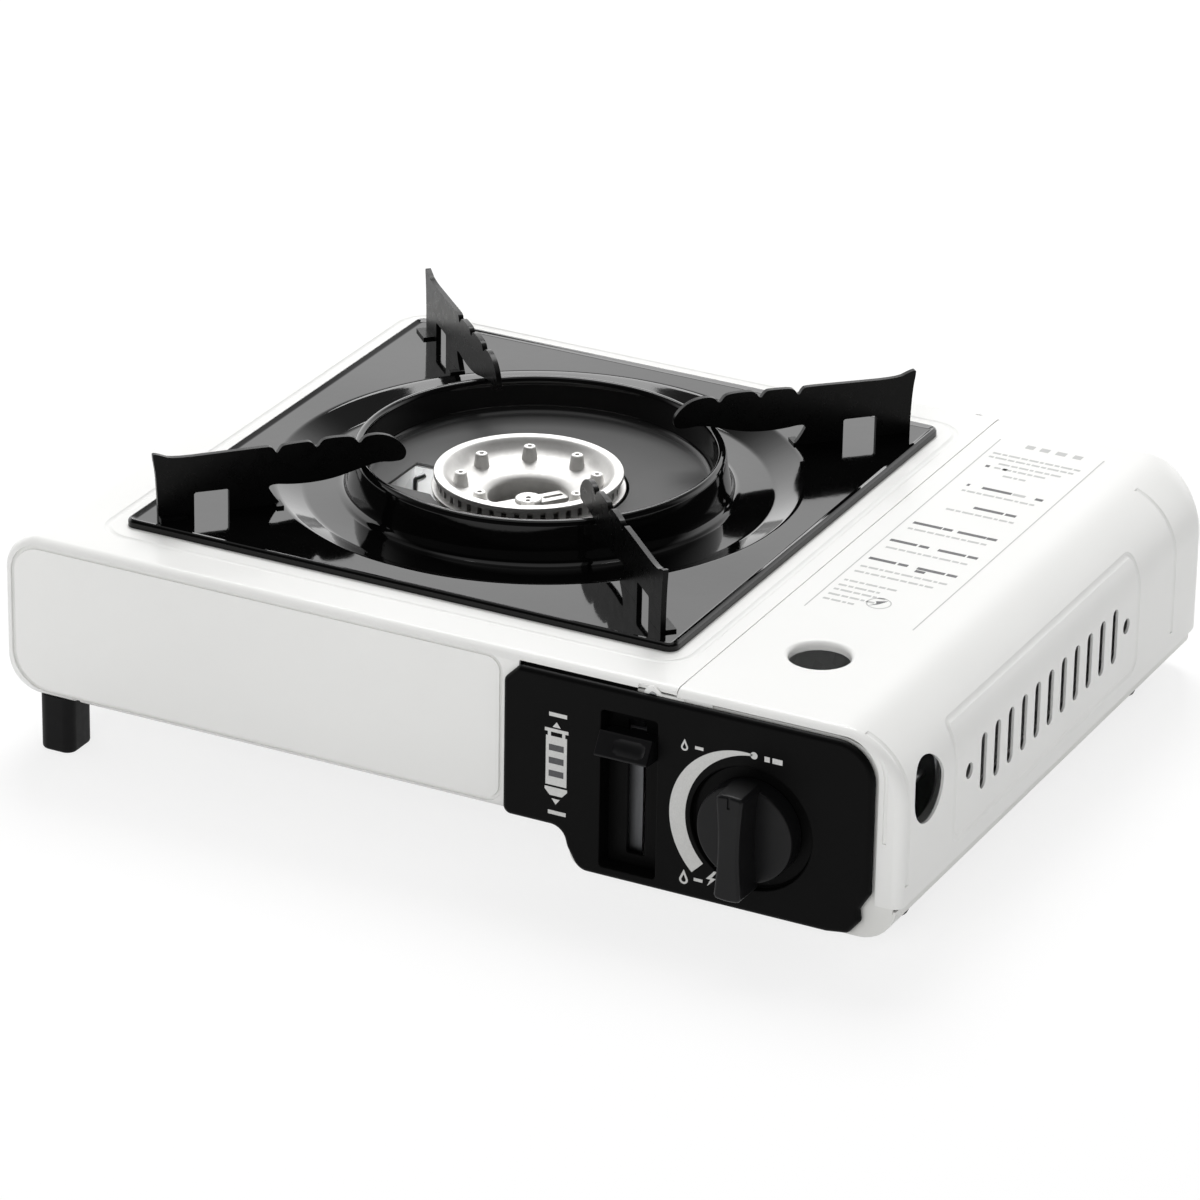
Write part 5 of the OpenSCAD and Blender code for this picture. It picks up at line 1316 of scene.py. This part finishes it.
class STOVE_OT_screws(bpy.types.Operator):
    """Groups of pan-head screws, each group one piece"""
    bl_idname = "stove.screws"
    bl_label = "Screws"

    def execute(self, context):
        # The way and length of each group's shanks, and the height of their heads' undersides
        groups = {"base_screws": (1, 5, BELLY), "foot_screws": (1, 10, BELLY - 5),
                  "bracket_screws": (-1, 3.6, BELLY + 3), "regulator_screws": (-1, 3.6, 9.5)}
        for node, (way, reach, z) in groups.items():
            (x0, y0, _), (x1, y1, _) = span(node)
            xs = {round(x0 + SCREW_HEAD, 2), round(x1 - SCREW_HEAD, 2)}
            ys = {round(y0 + SCREW_HEAD, 1), round(y1 - SCREW_HEAD, 1)}
            places = [(x, y, z) for x in sorted(xs) for y in sorted(ys)]
            finish(spots(node + "_set", screw("Z", way, reach), places), node)
        y = FRONT + 2.3
        places = [(SEAM + 4, y, DECK - 12.5), (SEAM + 4, y, 12.5), (SEAM + 60, y, DECK - 14),
                  (SEAM + 63, y, DECK - 64), (SEAM - 62.5, FRONT + 1, BELLY + 12)]
        finish(spots("panel_screws_set", screw("Y", -1, 3.1), places), "panel_screws")
        return {"FINISHED"}


# ---- Stage ----

def lamp(name, kind, place, target, power, hidden=(), **settings):
    """A lamp at a place that shines at a target, both in metres. It can be hidden from kinds of rays."""
    light = bpy.data.lights.new(name, kind)
    light.energy = power
    for setting, value in settings.items():
        setattr(light, setting, value)
    holder = bpy.data.objects.new(name, light)
    holder.location = place
    holder.rotation_euler = (Vector(target) - Vector(place)).to_track_quat("-Z", "Y").to_euler()
    for rays in hidden:
        setattr(holder, "visible_" + rays, False)
    bpy.context.scene.collection.objects.link(holder)


# The camera's place and lens, and the ways in which its picture goes right and down
CAMERA_PLACE = (0.9599, -1.9017, 1.0272)
CAMERA_LENS = 191.9
PICTURE_RIGHT = Vector((0.88906368, 0.45752022, 0.015525))
PICTURE_DOWN = Vector((0.20393686, -0.36547668, -0.90820513))


def lay_floor():
    """A floor that is white to the camera and in reflections, and lights the stove as a plain one does."""
    reach = 4000
    floor = mesh_piece("floor", [(x, y, 0) for x, y in bar(-reach, -reach, reach, reach)],
                       [(0, 1, 2, 3)], closed=False)
    material = bpy.data.materials.new("pale_floor")
    tree = blank_tree(material)
    path = add(tree, "ShaderNodeLightPath").outputs
    seen = calculate(tree, "MAXIMUM", path["Is Camera Ray"], path["Is Glossy Ray"])
    seen = calculate(tree, "MAXIMUM", seen, path["Is Transmission Ray"])
    plain = add(tree, "ShaderNodeBsdfDiffuse", {}, {"Color": (0.8, 0.8, 0.8, 1)})
    soft = add(tree, "ShaderNodeBsdfDiffuse", {}, {"Color": (0.24, 0.24, 0.24, 1)})
    glow = add(tree, "ShaderNodeEmission", {}, {"Color": (1, 1, 1, 1), "Strength": 0.78})
    white = add(tree, "ShaderNodeAddShader", {}, {0: soft.outputs[0], 1: glow.outputs[0]})
    mixed = add(tree, "ShaderNodeMixShader", {}, {0: seen, 1: plain.outputs[0], 2: white.outputs[0]})
    add(tree, "ShaderNodeOutputMaterial", {}, {"Surface": mixed.outputs[0]})
    floor.data.materials.append(material)


def studio_world():
    """The room round the stove: white to the camera, and with light and reflections of its own."""
    world = bpy.data.worlds.new("studio")
    tree = blank_tree(world)
    path = add(tree, "ShaderNodeLightPath").outputs
    direct = calculate(tree, "MAXIMUM", path["Is Camera Ray"], path["Is Transmission Ray"])
    # In reflections the room is white low down behind the stove and overhead, and dark elsewhere
    way = add(tree, "ShaderNodeTexCoord").outputs["Generated"]
    height = add(tree, "ShaderNodeSeparateXYZ", {}, {0: way}).outputs[2]
    behind = add(tree, "ShaderNodeVectorMath", {"operation": "DOT_PRODUCT"}, {0: way, 1: (-0.45, 0.89, 0)})
    backdrop = ramp(tree, behind.outputs["Value"], -0.1, 0.4, 0.06, 2.2)
    low = ramp(tree, height, 0.4, 0.7, 1.0, 0.12)
    overhead = ramp(tree, height, 0.8, 0.93, 0.0, 0.9)
    room = calculate(tree, "MAXIMUM", calculate(tree, "MULTIPLY", backdrop, low), overhead)
    # All other light comes from low down, so upright faces get more of it than the deck
    glow = ramp(tree, height, 0.1, 0.5, 1.22, 0.32)
    soft = add(tree, "ShaderNodeMix", {}, {"Factor": path["Is Glossy Ray"], "A": glow, "B": room})
    strength = add(tree, "ShaderNodeMix", {}, {"Factor": direct, "A": soft.outputs[0], "B": 1.0})
    sky = add(tree, "ShaderNodeBackground", {}, {"Color": (1, 1, 1, 1), "Strength": strength.outputs[0]})
    add(tree, "ShaderNodeOutputWorld", {}, {"Surface": sky.outputs[0]})
    return world


def light_stove():
    """Two softboxes, and a narrow lamp that reaches the bright bracket under the tray's notch."""
    stove = (0, 0, 0.05)
    lamp("key_softbox", "AREA", (-0.5, 0.95, 1.7), stove, 28, size=1.0)
    lamp("fill_softbox", "AREA", (0.2, -2.2, 1.1), stove, 12, ["glossy"], size=1.2)
    bracket = Vector((BURNER.x - 38.5, BURNER.y - 1, DECK - 8)) * MM
    lamp("kicker_spot", "SPOT", bracket + Vector((0.41, -0.79, 0.45)), bracket, 80, ["glossy", "camera"],
         spot_size=radians(1.2), spot_blend=0.3, shadow_soft_size=0.01)


def photo_camera():
    """The camera, where the photograph was taken from."""
    camera = bpy.data.cameras.new("camera")
    camera.sensor_width = 36
    camera.lens = CAMERA_LENS
    camera.clip_start = 0.1
    viewer = bpy.data.objects.new("camera", camera)
    bpy.context.scene.collection.objects.link(viewer)
    forward = PICTURE_RIGHT.cross(PICTURE_DOWN)
    viewer.matrix_world = Matrix.Translation(CAMERA_PLACE) @ Matrix(
        (PICTURE_RIGHT, -PICTURE_DOWN, -forward)).transposed().to_4x4()
    return viewer


class STOVE_OT_stage(bpy.types.Operator):
    """Pale floor, soft light and the camera"""
    bl_idname = "stove.stage"
    bl_label = "Stage"

    def execute(self, context):
        scene = context.scene
        lay_floor()
        scene.world = studio_world()
        light_stove()
        scene.camera = photo_camera()
        scene.view_settings.view_transform = "Standard"
        return {"FINISHED"}


class STOVE_PT_panel(bpy.types.Panel):
    """The stove's steps, sizes and colours in the sidebar"""
    bl_idname = "STOVE_PT_panel"
    bl_label = "Portable stove"
    bl_space_type = "VIEW_3D"
    bl_region_type = "UI"
    bl_category = "Stove"

    def draw(self, context):
        for step in STEPS:
            self.layout.operator(step.bl_idname)
        for group in (context.scene.stove_sizes, context.scene.stove_colours):
            box = self.layout.box()
            for name in type(group).__annotations__:
                box.prop(group, name)


STEPS = (STOVE_OT_stage, STOVE_OT_shell, STOVE_OT_lid, STOVE_OT_tray, STOVE_OT_supports, STOVE_OT_burner,
         STOVE_OT_panel, STOVE_OT_knob, STOVE_OT_handle, STOVE_OT_marks, STOVE_OT_lid_print, STOVE_OT_works,
         STOVE_OT_lines, STOVE_OT_feet, STOVE_OT_screws)
CLASSES = (StoveSizes, StoveColours, *STEPS, STOVE_PT_panel)


def register():
    """Registers the classes and hangs the two property groups on the scene."""
    for item in CLASSES:
        bpy.utils.register_class(item)
    bpy.types.Scene.stove_sizes = bpy.props.PointerProperty(type=StoveSizes)
    bpy.types.Scene.stove_colours = bpy.props.PointerProperty(type=StoveColours)


def unregister():
    """Takes the property groups and the classes away again."""
    del bpy.types.Scene.stove_colours
    del bpy.types.Scene.stove_sizes
    for item in reversed(CLASSES):
        bpy.utils.unregister_class(item)


def main():
    register()
    for step in STEPS:
        group, name = step.bl_idname.split(".")
        getattr(getattr(bpy.ops, group), name)()


if __name__ == "__main__":
    main()
